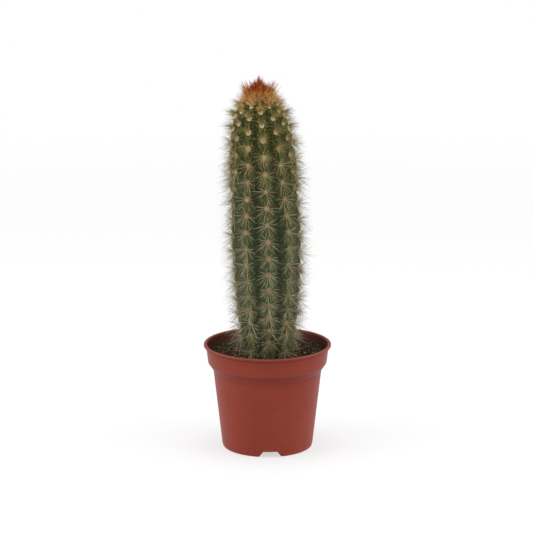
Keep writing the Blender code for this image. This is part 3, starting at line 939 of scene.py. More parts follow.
def cactusSkin():
    c = skinLook
    material, shader = newMaterial("cactusSkin")
    place = objectPlace()
    x, y, z = parted(place)
    furrow, near = attribute("furrow"), attribute("near")
    blotch = noise(place, 55.0, 4.0)
    patch = noise(place, 190.0, 3.0, 0.6)
    grain = noise(place, 420.0, 4.0, 0.6)
    mottle = noise(place, 620.0, 2.0)
    speck = noise(place, 700.0, 2.0)
    streak = noise(joined(x, y, z * 0.25), 700.0, 3.0)
    young = easedOver(z, c["youngSpan"])
    old = easedOver(z, c["oldSpan"], 1.0, 0.0)
    lowest = easedOver(z, c["streakSpan"], 1.0, 0.0)
    atSoil = easedOver(z, c["corkSpan"], 1.0, 0.0)
    green = layered(
        ramp(blotch, [(0.3, c["deep"]), (0.7, c["fresh"])]),
        (eased(patch, 0.48, 0.6) * 0.45, c["patch"]),
        (young * 0.85, c["young"]),
        (old * 0.22, c["old"]),
        (old * eased(blotch, 0.45, 0.6) * 0.6, c["oldBlotch"]),
        # painted shade down the furrows, less on the young top
        (eased(furrow, 0.25, 1.0) * (0.8 - young * 0.6), c["furrow"]),
        (eased(furrow, 0.0, 0.3, 1.0, 0.0) * near * 0.4, c["crest"]),
        (eased(grain, 0.5, 0.8) * (0.2 - young * 0.17), c["bloom"]),
        (eased(mottle, 0.52, 0.66) * 0.5, c["paleMottle"]),
        (eased(mottle, 0.34, 0.47, 1.0, 0.0) * 0.6, c["darkMottle"]),
        # the youngest skin is speckled with ochre and brown
        (eased(speck, 0.54, 0.62) * young * 0.85, c["ochreSpeck"]),
        (eased(speck, 0.40, 0.48, 1.0, 0.0) * young * 0.9, c["brownSpeck"]),
        # yellow-green streaks run up the lowest ribs
        (eased(streak, 0.52, 0.62) * lowest * 0.45, c["streak"]),
        # the oldest skin, at the soil, is corky
        (atSoil * eased(blotch, 0.35, 0.65) * 0.5, c["cork"]),
    )
    setShader(shader, Base_Color=green, Roughness=0.42 + grain * 0.2,
              Specular_IOR_Level=0.25, Subsurface_Weight=0.06, Subsurface_Radius=c["glow"])
    pores = made("ShaderNodeTexVoronoi", Vector=place, Scale=1400.0)
    bumped(shader, grain * 0.7 + pores * 0.3, c["relief"], 0.6)
    return material


stemSkin = grow("stemSkin", stemGuide(), stemTree(cactusSkin()), "cactus_stem")


# spines
def areoleRoots(skin):
    # a bare point for each areole, with the way out of the skin and the way up the rib
    marks = skin.attributes["areole"].data
    found = [v.index for v in skin.vertices if marks[v.index].value > 0.5]
    ups, outs = [], []
    for i in found:
        here = skin.vertices[i].co
        up = Vector(skin.attributes["along"].data[i].vector).normalized()
        out = here - Vector((axisShift(here.z), 0.0, here.z))
        ups.append(up)
        outs.append((out - up * out.dot(up)).normalized())
    roots = bpy.data.meshes.new("areoleRoots")
    roots.from_pydata([skin.vertices[i].co for i in found], [], [])
    storeVectors(roots, along=ups, outward=outs)
    for name in ("age", "station"):
        storeNumbers(roots, **{name: [skin.attributes[name].data[i].value for i in found]})
    storeNumbers(roots, own=[float(i) for i in range(len(found))])
    return roots


def growSpines(geo, points, root, way, bend, thick, tone, taper=2.5, tipShare=0.12):
    # every point becomes a thin solid that tapers and bends
    points = keep(points, root=root, way=way, bend=bend, thick=thick, tone=tone)
    line = made("GeometryNodeCurvePrimitiveLine", End=(0.0, 0.0, 1.0))
    line = made("GeometryNodeResampleCurve", Curve=line, Count=geo["segments"] + 1)
    curves = copied(points, line)
    curves = keep(curves, tip=made("GeometryNodeSplineParameter"))
    tip = kept("tip")
    where = total((1.0, keptVector("root")), (tip, keptVector("way")), (tip * tip, keptVector("bend")))
    curves = moved(curves, Position=where)
    radius = kept("thick") * 0.5 * (1.0 - (tip ** taper) * (1.0 - tipShare))
    section = made("GeometryNodeCurvePrimitiveCircle", Resolution=geo["sides"], Radius=1.0)
    return made("GeometryNodeCurveToMesh", Curve=curves, Profile_Curve=section, Scale=radius, Fill_Caps=True)


radialSpines = {
    "count": 13,
    "length": 11.9, "thick": 0.33,  # millimetres
    "tilt": 68.0, "tiltYoung": 37.0, "tiltSpread": 13.0,  # degrees away from the areole's middle
    "shortYoung": 0.42,  # how much shorter the closed tufts near the top are
    "moreOld": 0.3, "moreRight": 0.0,  # the share more on the oldest part and on the right side
    "levelOld": 0.32,  # how far old ones turn towards the sides
    "moreCollar": 0.15,  # the share more round the crown
    "longCollar": 0.35,  # how much longer they are round the crown
    "fewerFoot": 0.5,  # the share that the lowest areoles have lost at the front and back
    "segments": 3, "sides": 4, "seed": 11,
}

centralSpines = {
    "count": 5,
    "length": 13.0, "thick": 0.29,
    "tilt": 40.0, "tiltYoung": 26.0, "tiltSpread": 24.0,
    "shortYoung": 0.25, "moreOld": 0.15, "moreRight": 0.0, "levelOld": 0.0,
    "moreCollar": 0.4, "longCollar": 0.15, "fewerFoot": 0.4,
    "segments": 3, "sides": 4, "seed": 23,
}

downSpines = {
    # these lie along the rib, down to the next areole
    "count": 2,
    "length": 14.6, "thick": 0.32,
    "tilt": 75.0, "tiltYoung": 60.0, "tiltSpread": 7.0,
    "shortYoung": 0.3, "moreOld": 0.0, "moreRight": 0.0, "levelOld": 0.0,
    "moreCollar": 0.0, "longCollar": 0.0, "fewerFoot": 0.0,
    "segments": 3, "sides": 4, "seed": 37,
}

wispySpines = {
    "count": 50,
    "length": 13.8, "thick": 0.18,
    "tilt": 54.0, "tiltYoung": 29.0, "tiltSpread": 27.0,
    "shortYoung": 0.1, "moreOld": 0.15, "moreRight": 0.3, "levelOld": 0.25,
    "moreCollar": -0.2, "longCollar": 0.0, "fewerFoot": 0.85,
    "segments": 2, "sides": 3, "seed": 29,
}

areoles = {
    # spans are millimetres from the growing point
    "youngSpan": (1.5, 14.0),
    "youngLift": 15.0,  # degrees that the youngest areoles look up
    "openSpan": (18.0, 62.0),  # in this the tufts open into stars
    "collarSpan": (9.0, 19.0),  # and nearer than this they stand round the crown
    "thickCollar": 0.4, "wideCollar": 0.15,  # the share by which those spines and tufts are wider
    "shortBelow": 0.7,  # how much shorter a closed tuft's lower spines are
    "fromAbove": 1.9,  # millimetres above the pad's middle, where a closed tuft starts
    "oldSpan": (120.0, 185.0),
    "thinOld": 0.2,  # how much thinner old spines are
    "sideLoss": 0.7,  # the share of fewerFoot that also holds at the sides
    "oldFoot": 1.1,  # stations that bear the long foot spines
    "clearLow": 0.2, "clearHigh": 0.7,  # millimetres from the pad's middle to a spine's base
}


def areoleFrame():
    # the axis of each areole: straight out on old ones, and up the rib on young ones
    age, outward, along = kept("age"), keptVector("outward"), keptVector("along")
    young = easedOver(age, areoles["youngSpan"], 1.0, 0.0)
    closed = easedOver(age, areoles["openSpan"], 1.0, 0.0)
    sine, cosine = sineCosine(young * math.radians(areoles["youngLift"]))
    axis = total((cosine, outward), (sine, along))
    up = total((cosine, along), (0.0 - sine, outward))
    side = vectors("CROSS_PRODUCT", up, axis)
    return closed, axis, up, side


def areoleSpines(name, values, material, turnRule, lengthRule, bendRule):
    # the rules say how far each spine turns round its areole, how long it is and how it bends
    geo = GeoTree(name, values, lengths="length thick", angles="tilt tiltYoung tiltSpread",
                  plain="count segments sides seed")
    seed = geo["seed"]
    points = made("GeometryNodeMeshToPoints", Mesh=geo.geometry)
    closed, axis, up, side = areoleFrame()
    age = kept("age")
    foot = maths("LESS_THAN", kept("station"), areoles["oldFoot"])
    collar = easedOver(age, areoles["collarSpan"], 1.0, 0.0)
    old = easedOver(age, areoles["oldSpan"])
    rightwards = parted(keptVector("outward"))[0]
    sideways = maths("ABSOLUTE", rightwards)
    lost = foot * values["fewerFoot"] * eased(sideways, 0.45, 0.85, 1.0, areoles["sideLoss"])
    right = positive(rightwards)
    amount = geo["count"] * (1.0 + collar * values["moreCollar"]) * (1.0 + old * values["moreOld"])
    amount = amount * (1.0 - lost)
    amount = maths("ROUND", amount * (1.0 + right * values["moreRight"]))
    copies = addNode("GeometryNodeDuplicateElements", {"domain": "POINT"}, Geometry=points, Amount=amount)
    index = output(copies, "Duplicate Index")

    jitter, phase = spread(-0.5, 0.5, seed), spread(-0.5, 0.5, seed + 1, ident=kept("own"))
    turn = turnRule(index, amount, jitter, phase)
    turn = turn + maths("SINE", turn * 2.0) * old * values["levelOld"]
    tilt = mixed(geo["tilt"], geo["tiltYoung"], closed)
    tilt = tilt + geo["tiltSpread"] * spread(-1.0, 1.0, seed + 2)
    tilt = tilt * (1.0 + collar * areoles["wideCollar"])
    sideShare, upShare = sineCosine(turn)
    flat, out = sineCosine(tilt)
    direction = total((out, axis), (flat * upShare, up), (flat * sideShare, side))

    length = geo["length"] * lengthRule(index, upShare, foot) * spread(0.78, 1.12, seed + 3)
    length = length * (1.0 - closed * values["shortYoung"]) * (1.0 + collar * values["longCollar"])
    below = positive(0.0 - upShare)
    length = length * (1.0 - closed * below * flat * areoles["shortBelow"])
    clear = spread(areoles["clearLow"], areoles["clearHigh"], seed + 7) * mm
    root = total((1.0, position()), (clear, direction), (closed * areoles["fromAbove"] * mm, up))
    thick = geo["thick"] * (1.0 - old * areoles["thinOld"]) * (1.0 + collar * areoles["thickCollar"])
    mesh = growSpines(geo, output(copies, "Geometry"), root, vectors("SCALE", direction, length),
                      bendRule(axis, length, seed + 4), thick * spread(0.8, 1.15, seed + 8),
                      spread(0.0, 1.0, seed + 9))
    geo.finish(mesh, material)
    return geo


def radialTurn(index, amount, jitter, phase):
    # fewer spines point up the rib, and more point down
    turn = (index + 0.5 + jitter * 0.5 + phase) / amount * math.tau
    return turn + maths("SINE", turn) * 0.35


def radialLength(index, upShare, foot):
    # short above, longest at the sides and below, and very long at the foot of the plant
    above = positive(upShare)
    below = positive(0.0 - upShare)
    return (1.0 - above * 0.38) * (1.0 + foot * (0.5 + below * 0.2))


def radialBend(axis, length, seed):
    return total((length * -0.03, axis), (length * 0.03, anyWay(seed)))


def looseTurn(index, amount, jitter, phase):
    return (index + 0.5 + jitter * 1.5 + phase) / amount * math.tau


def looseLength(index, upShare, foot):
    return (0.95 - upShare * 0.12) * (1.0 + foot * 0.25)


def looseBend(axis, length, seed):
    # a little outwards, a little to any side, and a little down
    return total((length * 0.03, axis), (length * 0.08, anyWay(seed, 0.6)),
                 (length * 0.06, (0.0, 0.0, -1.0)))


def downTurn(index, amount, jitter, phase):
    return jitter * 0.5 + (math.pi + phase * 0.2)


def downLength(index, upShare, foot):
    return (1.0 - index * 0.25) * (1.0 + foot * 0.4)


# a spine's colours from its base to its tip, on young and on old parts of the plant
spineColours = {
    "base": (0.44, 0.31, 0.10), "body": (0.45, 0.45, 0.27), "tip": (0.32, 0.29, 0.16),
    "youngBase": (0.92, 0.74, 0.40), "youngBody": (0.52, 0.42, 0.12), "youngTip": (0.13, 0.07, 0.02),
    "oldBody": (0.60, 0.58, 0.40), "pale": (0.80, 0.74, 0.52),
}

wispyColours = {
    "base": (0.48, 0.33, 0.09), "body": (0.22, 0.165, 0.05), "tip": (0.10, 0.09, 0.05),
    "youngBase": (0.92, 0.72, 0.28), "youngBody": (0.32, 0.255, 0.060), "youngTip": (0.08, 0.06, 0.02),
    "oldBody": (0.27, 0.25, 0.16), "pale": (0.30, 0.26, 0.13),
}

hornLook = {
    # spans are millimetres from the growing point
    # newestGap is painted shade between the newest spines' bundles
    "newestSpan": (4.0, 13.0), "newestGap": (0.32, 0.12, 0.03), "newestBody": (0.98, 0.58, 0.20),
    "newestTip": (0.28, 0.11, 0.03),
    "youngSpan": (6.0, 80.0), "oldSpan": (90.0, 180.0),
    "oldestSpan": (178.0, 196.0), "oldest": (0.39, 0.32, 0.21),
    "relief": 0.03,
}


def makeHorn(name, c):
    material, shader = newMaterial(name)
    tip, tone, age = attribute("tip"), attribute("tone"), attribute("age")
    place = objectPlace()
    x, y, z = parted(place)
    newest = easedOver(age, hornLook["newestSpan"], 1.0, 0.0)
    young = easedOver(age, hornLook["youngSpan"], 1.0, 0.0)
    old = easedOver(age, hornLook["oldSpan"])
    oldest = easedOver(age, hornLook["oldestSpan"])
    # the newest spines are bright in bundles, with painted shade in the gaps
    clump = noise(joined(x, y, z * 0.15), 500.0, 2.0)
    clumps = ramp(clump, [(0.36, hornLook["newestGap"]), (0.46, hornLook["newestBody"])])
    body = layered(c["body"], (old, c["oldBody"]), (young, c["youngBody"]),
                   (oldest * 0.8, hornLook["oldest"]), (newest * 0.85, clumps))
    ends = layered(c["tip"], (young, c["youngTip"]), (newest * 0.8, hornLook["newestTip"]))
    colour = layered(
        c["base"],
        (young, c["youngBase"]),
        (eased(tip, 0.05, 0.35), body),
        (eased(tip, 0.72, 1.0), ends),
        (eased(tone, 0.35, 1.0) * (0.5 - oldest * 0.2), c["pale"]),
    )
    streak = noise(place, 1200.0, 2.0)
    setShader(shader, Base_Color=colour, Roughness=0.38 + streak * 0.2, Specular_IOR_Level=0.3)
    bumped(shader, streak, hornLook["relief"], 0.4)
    return material


roots = areoleRoots(stemSkin.data)
print("it bears", len(roots.vertices), "areoles")


def makeAreoleSpines():
    stout = makeHorn("spineHorn", spineColours)
    thin = makeHorn("wispyHorn", wispyColours)
    loose = (looseTurn, looseLength, looseBend)
    for name, values, material, rules in (
        ("radialSpines", radialSpines, stout, (radialTurn, radialLength, radialBend)),
        ("centralSpines", centralSpines, stout, loose),
        ("downSpines", downSpines, stout, (downTurn, downLength, radialBend)),
        ("wispySpines", wispySpines, thin, loose),
    ):
        geo = areoleSpines(name, values, material, *rules)
        grow(name, roots.copy(), geo, "cactus_stem")


makeAreoleSpines()


# felt
felt = {
    "halfWidth": 1.8, "halfHeight": 2.4, "depth": 1.5, "sink": 0.1,
    "moreYoung": 0.05,  # how much larger young pads are
    "newestSpan": (1.0, 11.0), "newest": 0.68,  # but the very newest are this share of the size
    "oldestSpan": (150.0, 200.0), "lessOldest": 0.15,  # and these are worn down
    "lumps": 0.5,
    "hairs": 1.9,  # for each square millimetre
    "hairLength": 1.45, "hairThick": 0.10,
    "segments": 2, "sides": 3, "seed": 41,
}


def feltTree():
    geo = GeoTree("areoleFelt", felt, lengths="halfWidth halfHeight depth sink lumps hairLength hairThick",
                  plain="segments sides seed")
    seed = geo["seed"]
    closed, axis, up, side = areoleFrame()
    oldest = easedOver(kept("age"), felt["oldestSpan"])
    size = spread(0.86, 1.14, seed) * (1.0 + closed * felt["moreYoung"])
    size = size * easedOver(kept("age"), felt["newestSpan"], felt["newest"], 1.0)
    size = size * (1.0 - oldest * felt["lessOldest"])
    points = made("GeometryNodeMeshToPoints", Mesh=geo.geometry)
    points = keep(points, root=position(), axis=axis, up=up, side=side, size=size,
                  tone=spread(0.0, 1.0, seed + 1))
    ball = made("GeometryNodeMeshIcoSphere", Radius=1.0, Subdivisions=3)
    pads = copied(points, keep(ball, local=position()))
    x, y, z = parted(keptVector("local"))
    pads = keep(pads, high=z)
    width, height, depth = (kept("size") * geo[name] for name in ("halfWidth", "halfHeight", "depth"))
    outwards = keptVector("axis")
    where = total((1.0, keptVector("root")), (x * width, keptVector("side")),
                  (y * height, keptVector("up")), (z * depth - geo["sink"], outwards))
    lump = noise(where, 900.0, 2.0) - 0.45
    pads = moved(pads, Position=total((1.0, where), (lump * geo["lumps"], outwards)))
    pads = keep(pads, tip=0.0)

    # short wool all over the front of each pad
    shown = maths("GREATER_THAN", z, -0.25)
    strewn = scattered(pads, shown * (felt["hairs"] / mm**2), seed + 2)
    length = geo["hairLength"] * spread(0.5, 1.2, seed + 4) * (1.0 + oldest * 0.3)
    way = total((length * 0.8, output(strewn, "Normal")), (length * 0.55, anyWay(seed + 3)))
    bend = total((length * 0.5, anyWay(seed + 5)))
    hairs = growSpines(geo, output(strewn, "Points"), position(), way, bend, geo["hairThick"],
                       spread(0.0, 1.0, seed + 6), taper=1.5, tipShare=0.3)
    geo.finish(together(hairs, pads), makeWool())
    return geo


woolLook = {
    # spans are millimetres from the growing point
    "light": (0.55, 0.39, 0.22), "old": (0.36, 0.26, 0.155), "oldSpan": (60.0, 170.0),
    "young": (0.86, 0.69, 0.40), "youngSpan": (8.0, 95.0),
    "newest": (0.84, 0.63, 0.38), "newestSpan": (15.0, 60.0),
    "gap": (0.24, 0.13, 0.08), "hair": (0.72, 0.6, 0.42), "rim": (0.20, 0.11, 0.05),
    "oldest": (0.20, 0.13, 0.07), "oldestSpan": (186.0, 205.0),
    "relief": 0.12,
}


def makeWool():
    c = woolLook
    material, shader = newMaterial("areoleWool")
    tip, tone, age = attribute("tip"), attribute("tone"), attribute("age")
    old = easedOver(age, c["oldSpan"])
    dark = noise(objectPlace(), 1500.0, 3.0)
    rim = eased(attribute("high"), 0.0, 0.55, 0.65, 0.0)
    colour = layered(
        c["light"],
        (old, c["old"]),
        (easedOver(age, c["youngSpan"], 1.0, 0.0), c["young"]),
        (easedOver(age, c["newestSpan"], 0.7, 0.0), c["newest"]),
        (eased(dark, 0.35, 0.6, 0.45, 0.0), c["gap"]),
        ((tone * 0.3 + tip * 0.25) * (1.0 - old * 0.5), c["hair"]),
        # brown round the rim, and all over on the oldest
        (rim * (1.0 - old * 0.6), c["rim"]),
        (easedOver(age, c["oldestSpan"]) * 0.6, c["oldest"]),
    )
    setShader(shader, Base_Color=colour, Roughness=0.85, Specular_IOR_Level=0.15,
              Sheen_Weight=0.5, Sheen_Roughness=0.5)
    bumped(shader, dark, c["relief"], 0.7)
    return material


grow("areoleFelt", roots.copy(), feltTree(), "cactus_stem")


# crown
crown = {
    "count": 1100, "packed": 0.58,  # 0.5 would space them evenly, and more fills the middle
    "radius": 9.4, "height": 289.6,  # of its edge, in millimetres
    "rise": 1.8, "risePower": 2.0,
    "longest": 18.8, "shortest": 7.4, "lengthPower": 1.9,  # in the middle and at the edge
    "lean": 26.0, "leanPower": 1.1,
    "thick": 0.36,
    # long ones that stand off the outer rings, from this share of the radius on
    "wildCount": 110, "wildFrom": 0.5, "wildLength": 15.6, "wildLean": 29.0,
    "wildThick": 1.2, "wildTone": 0.1,
    "segments": 4, "sides": 4, "seed": 67,
}


def crownTree():
    # spines on a sunflower spiral, upright in the middle and leaning out towards the edge
    geo = GeoTree("crownSpines", crown, lengths="radius rise longest shortest thick wildLength",
                  angles="lean wildLean", plain="count wildThick segments sides seed")
    seed = geo["seed"]
    points = made("GeometryNodePoints", Count=geo["count"])
    index = made("GeometryNodeInputIndex")
    share = ((index + 0.5) / geo["count"]) ** crown["packed"]
    turn = index * math.radians(137.508) + spread(-0.3, 0.3, seed)
    every = crown["count"] // (2 * crown["wildCount"])
    wild = maths("LESS_THAN", maths("MODULO", index, every), 0.5)
    wild = wild * maths("GREATER_THAN", share, crown["wildFrom"])
    loose = 0.35 + share * share
    lean = geo["lean"] * share ** crown["leanPower"] + loose * spread(-0.2, 0.3, seed + 1)
    lean = mixed(lean, geo["wildLean"] * spread(0.45, 1.3, seed + 2), wild)
    length = mixed(geo["shortest"], geo["longest"], (1.0 - share) ** crown["lengthPower"])
    length = length * (1.0 - loose * spread(-0.2, 0.34, seed + 3))
    length = mixed(length, geo["wildLength"] * spread(0.66, 1.05, seed + 4), wild)
    upwards = (0.0, 0.0, 1.0)
    sine, cosine = sineCosine(turn)
    across = joined(sine, 0.0 - cosine, 0.0)
    centre = (axisShift(crown["height"] * mm), 0.0, crown["height"] * mm)
    height = (1.0 - share ** crown["risePower"]) * geo["rise"]
    root = total((1.0, centre), (share * geo["radius"], across), (height, upwards))
    out, high = sineCosine(lean)
    direction = total((out, across), (high, upwards))
    # they sway a little to any side
    bend = total((length * 0.08, spread((-1.0, -1.0, -0.3), (1.0, 1.0, 0.3), seed + 5)))
    thick = geo["thick"] * spread(0.8, 1.15, seed + 6) * mixed(1.0, geo["wildThick"], wild)
    tone = mixed(spread(0.0, 1.0, seed + 7), crown["wildTone"], wild)
    mesh = growSpines(geo, keep(points, share=share), root, vectors("SCALE", direction, length), bend,
                      thick, tone, taper=4.0, tipShare=0.15)
    geo.finish(mesh, makeRust())
    return geo


rustLook = {
    # colours from a spine's base to its tip, in the middle of the tuft, round it and at its edge
    "inner": [(0.0, (0.78, 0.24, 0.04)), (0.25, (0.68, 0.11, 0.005)), (0.65, (0.52, 0.052, 0.001)),
              (0.9, (0.36, 0.05, 0.006)), (1.0, (0.26, 0.07, 0.02))],
    "outer": [(0.0, (0.92, 0.44, 0.12)), (0.35, (0.96, 0.42, 0.10)), (0.75, (0.84, 0.28, 0.05)),
              (0.9, (0.36, 0.14, 0.04)), (1.0, (0.16, 0.09, 0.04))],
    "edge": [(0.0, (0.92, 0.60, 0.24)), (0.7, (0.96, 0.64, 0.26)), (1.0, (0.24, 0.12, 0.04))],
    # gap is painted shade between the tuft's bundles
    "paleSpine": (0.90, 0.52, 0.18), "darkSpine": (0.24, 0.05, 0.006), "gap": (0.16, 0.035, 0.005),
    "relief": 0.03,
}


def makeRust():
    c = rustLook
    material, shader = newMaterial("youngSpineRust")
    tip, tone, share = attribute("tip"), attribute("tone"), attribute("share")
    place = objectPlace()
    x, y, z = parted(place)
    gaps = noise(joined(x, y, z * 0.12), 480.0, 2.0)
    colour = layered(
        ramp(tip, c["inner"]),
        (eased(share, 0.4, 0.8), ramp(tip, c["outer"])),
        (eased(share, 0.85, 1.0) * 0.6, ramp(tip, c["edge"])),
        (eased(tone, 0.55, 1.0) * 0.45, c["paleSpine"]),
        (eased(tone, 0.0, 0.35, 0.55, 0.0), c["darkSpine"]),
        # painted shade: darker gaps run between upright bundles
        (eased(gaps, 0.34, 0.47, 0.5, 0.0), c["gap"]),
    )
    streak = noise(place, 1200.0, 2.0)
    setShader(shader, Base_Color=colour, Roughness=0.45 + streak * 0.2, Specular_IOR_Level=0.1)
    bumped(shader, streak, c["relief"], 0.4)
    return material


cushion = {
    # the felt that the tuft grows from, in millimetres
    "inset": 0.3, "high": 2.1, "sink": 0.4,
    "lumpScale": 7.0, "lump": 0.35, "lumpWide": 0.03, "lumpHigh": 0.5,
    "around": 64, "rings": 32,
    "dark": (0.20, 0.07, 0.02), "light": (0.60, 0.30, 0.10), "relief": 0.3,
}


def makeCushion():
    c = cushion
    bm = bmesh.new()
    bmesh.ops.create_uvsphere(bm, u_segments=c["around"], v_segments=c["rings"], radius=1.0)
    for vertex in bm.verts:
        x, y, z = vertex.co
        lump = mathutilsNoise.fractal(Vector((x, y, z)) * c["lumpScale"], 0.9, 2.0, 3) * c["lump"]
        wide = (crown["radius"] - c["inset"]) * mm * (1.0 + c["lumpWide"] * lump)
        high = z * c["high"] + lump * c["lumpHigh"] - c["sink"]
        vertex.co = (x * wide + axisShift(crown["height"] * mm), y * wide, (crown["height"] + high) * mm)
    thing = addObject("crownFelt", meshFrom("crownFelt", bm))
    thing.data.shade_smooth()
    material, shader = newMaterial("crownWool")
    grain = noise(objectPlace(), 1100.0, 4.0)
    setShader(shader, Base_Color=blend(grain, c["dark"], c["light"]), Roughness=0.9, Sheen_Weight=0.3)
    bumped(shader, grain, c["relief"], 0.8)
    thing.data.materials.append(material)
    standFor(thing, "crown_spines")


grow("crownTuft", bpy.data.meshes.new("crownTuft"), crownTree(), "crown_spines")
makeCushion()
print("the crown is on")


# potting soil
soil = {
    # millimetres
    "level": 78.8, "relief": 1.5, "clumps": 0.11,
    "hollow": 7.0, "hollowInset": 5.0,  # how far it sinks under the stem, and where inside its edge
    "stemRadius": 21.0,
    "gap": 0.3,
    "wallHeights": (70.5, 62.0, 40.0, 20.0),  # where its side follows the pot's wall
    "footRise": 0.6, "footRead": 1.6, "footInset": 4.0,  # its lower edge
    "around": 150, "rings": 46,
    "grains": 4600, "grainLow": 0.4, "grainHigh": 1.5, "grainPower": 2.6, "wobble": 0.6,
    "bareRadius": 17.5, "topDepth": 4.0, "spreadRadius": 45.0,  # where crumbs and threads may lie
    "threads": 320, "threadLength": 7.0, "threadThick": 0.28, "threadLift": 0.3,
    "segments": 5, "sides": 3, "seed": 83,
}


def soilTop(x, y):
    place = Vector((x, y, 0.0))
    high = mathutilsNoise.fractal(place * soil["clumps"], 0.8, 2.1, 5) * soil["relief"]
    middle = max(0.0, 1.0 - math.hypot(x, y) / (soil["stemRadius"] - soil["hollowInset"]))
    return soil["level"] + high - soil["hollow"] * middle ** 0.6


def soilRing(bm, radius, height):
    # one vertex on the axis, or a ring of them, and without a height they lie on the clumpy top
    ring = []
    for i in range(soil["around"] if radius > 0.0 else 1):
        angle = math.tau * i / soil["around"]
        x, y = radius * math.sin(angle), -radius * math.cos(angle)
        z = soilTop(x, y) if height is None else height
        ring.append(bm.verts.new((x * mm, y * mm, z * mm)))
    return ring


def makeSoil():
    # the lump that fills the pot, with a clumpy top
    gap = soil["gap"]
    wall = potInside(soil["level"]) - gap
    path = [(wall * (i / soil["rings"]), None) for i in range(soil["rings"] + 1)]
    path += [(potInside(height) - gap, height) for height in soil["wallHeights"]]
    floorTop = pot["floorUnder"] + pot["floorThick"] + gap
    corner = potInside(floorTop + soil["footRead"]) - gap - soil["footRise"]
    inner = pot["wallFoot"] - soil["footInset"]
    path += [(corner, floorTop + soil["footRise"]), (inner, floorTop), (0.0, floorTop)]
    bm = bmesh.new()
    rings = [soilRing(bm, radius, height) for radius, height in path]
    for last, ring in zip(rings, rings[1:]):
        for i in range(soil["around"]):
            j = i + 1
            corners = [last[i % len(last)], ring[i % len(ring)], ring[j % len(ring)], last[j % len(last)]]
            bm.faces.new(list(dict.fromkeys(corners)))  # on the axis two of them are one
    bmesh.ops.recalc_face_normals(bm, faces=bm.faces)
    lump = addObject("soilLump", meshFrom("soilLump", bm))
    lump.data.shade_smooth()
    lump.data.materials.append(makePeat())
    standFor(lump, "potting_soil")
    print("the soil is in")
    return lump


def grainTree():
    geo = GeoTree("soilGrains", soil, lengths="bareRadius grainLow grainHigh threadLength threadThick",
                  plain="grains threads segments sides seed")
    seed = geo["seed"]
    place = position()
    x, y, z = parted(place)
    away = (x * x + y * y) ** 0.5
    area = math.pi * ((soil["spreadRadius"] * mm) ** 2 - (soil["stemRadius"] * mm) ** 2)
    onTop = maths("GREATER_THAN", z, (soil["level"] - soil["topDepth"]) * mm)
    onTop = maths("GREATER_THAN", away, geo["bareRadius"]) * onTop
    crumbs = output(scattered(geo.geometry, onTop * geo["grains"] / area, seed), "Points")
    crumbs = keep(crumbs, tone=spread(0.0, 1.0, seed + 1), tip=0.0)
    ball = made("GeometryNodeMeshIcoSphere", Radius=1.0, Subdivisions=1)
    size = mixed(geo["grainLow"], geo["grainHigh"], spread(0.0, 1.0, seed + 2) ** soil["grainPower"])
    scale = vectors("SCALE", spread((0.6, 0.6, 0.45), (1.25, 1.25, 1.0), seed + 3), size)
    rotation = spread((0.0, 0.0, 0.0), (math.tau, math.tau, math.tau), seed + 4)
    grains = copied(crumbs, ball, Rotation=rotation, Scale=scale)
    cloud = addNode("ShaderNodeTexNoise", Vector=place, Scale=1300.0, Detail=1.0)
    wobble = vectors("SUBTRACT", Wire(cloud.outputs["Color"]), (0.5, 0.5, 0.5))
    grains = moved(grains, Offset=vectors("SCALE", wobble, soil["wobble"] * mm))

    # root fibres and peat threads lying about
    strewn = scattered(geo.geometry, onTop * geo["threads"] / area, seed + 5)
    sine, cosine = sineCosine(spread(0.0, math.tau, seed + 6))
    length = geo["threadLength"] * spread(0.35, 1.0, seed + 7)
    way = joined(sine * length, cosine * length, length * spread(-0.05, 0.16, seed + 8))
    bend = vectors("SCALE", spread((-0.6, -0.6, -0.25), (0.6, 0.6, 0.05), seed + 9), length)
    root = total((1.0, place), (soil["threadLift"] * mm, (0.0, 0.0, 1.0)))
    thick = geo["threadThick"] * spread(0.5, 1.2, seed + 10)
    threads = growSpines(geo, output(strewn, "Points"), root, way, bend, thick,
                         spread(0.0, 1.0, seed + 11), taper=3.0, tipShare=0.4)
    both = together(keep(threads, tip=1.0), grains)
    # none of them passes through the pot
    limit = (potInside(soil["level"] - soil["relief"]) - soil["gap"] / 2) * mm
    inward = maths("MINIMUM", maths("DIVIDE", limit, away), 1.0)
    inPot = moved(both, Position=joined(x * inward, y * inward, z))
    geo.finish(inPot, makeCrumbs(), smooth=False)
    return geo


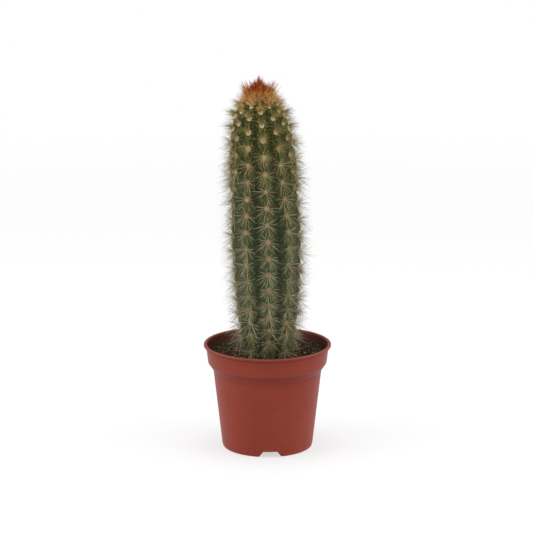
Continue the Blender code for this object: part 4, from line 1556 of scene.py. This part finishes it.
peatLook = {
    "clumps": [(0.3, (0.024, 0.014, 0.009)), (0.55, (0.058, 0.034, 0.019)), (0.75, (0.12, 0.070, 0.038))],
    "fleck": (0.12, 0.07, 0.04),
    "relief": 0.6,
}


def makePeat():
    c = peatLook
    material, shader = newMaterial("peat")
    place = objectPlace()
    clump = noise(place, 160.0, 5.0, 0.65)
    fine = noise(place, 900.0, 4.0, 0.7)
    colour = blend(eased(fine, 0.6, 0.75) * 0.5, ramp(clump, c["clumps"]), c["fleck"])
    setShader(shader, Base_Color=colour, Roughness=0.95, Specular_IOR_Level=0.15)
    bumped(shader, fine + clump, c["relief"])
    return material


crumbLook = {
    # mostly dark crumbs, a few pale ones, some green with algae on the left, and brown threads
    "crumbs": [(0.0, (0.022, 0.013, 0.008)), (0.6, (0.070, 0.040, 0.023)), (0.93, (0.15, 0.090, 0.048)),
               (0.97, (0.26, 0.17, 0.10)), (0.985, (0.45, 0.36, 0.22))],
    "threads": [(0.0, (0.10, 0.055, 0.03)), (0.7, (0.18, 0.10, 0.06)), (1.0, (0.50, 0.36, 0.22))],
    "algae": (0.055, 0.062, 0.016), "algaeSpan": (-40.0, -20.0),  # millimetres to the right
    "dirt": (0.01, 0.006, 0.004),
    "relief": 0.15,
}


def makeCrumbs():
    c = crumbLook
    material, shader = newMaterial("crumbs")
    place = objectPlace()
    tone, tip = attribute("tone"), attribute("tip")
    leftSide = easedOver(parted(place)[0], c["algaeSpan"], 1.0, 0.25)
    patch = eased(noise(place, 60.0, 2.0), 0.42, 0.6) * leftSide
    fine = noise(place, 1500.0, 3.0)
    colour = layered(
        ramp(tone, c["crumbs"]),
        (patch * 0.6, c["algae"]),
        (tip, ramp(tone, c["threads"])),
        (fine * 0.4, c["dirt"]),
    )
    setShader(shader, Base_Color=colour, Roughness=0.92, Specular_IOR_Level=0.15)
    bumped(shader, fine, c["relief"], 0.8)
    return material


soilLump = makeSoil()
bareTop = soilLump.data.copy()
bareTop.materials.clear()
grow("soilGrains", bareTop, grainTree(), "potting_soil")

print("pieces are done")
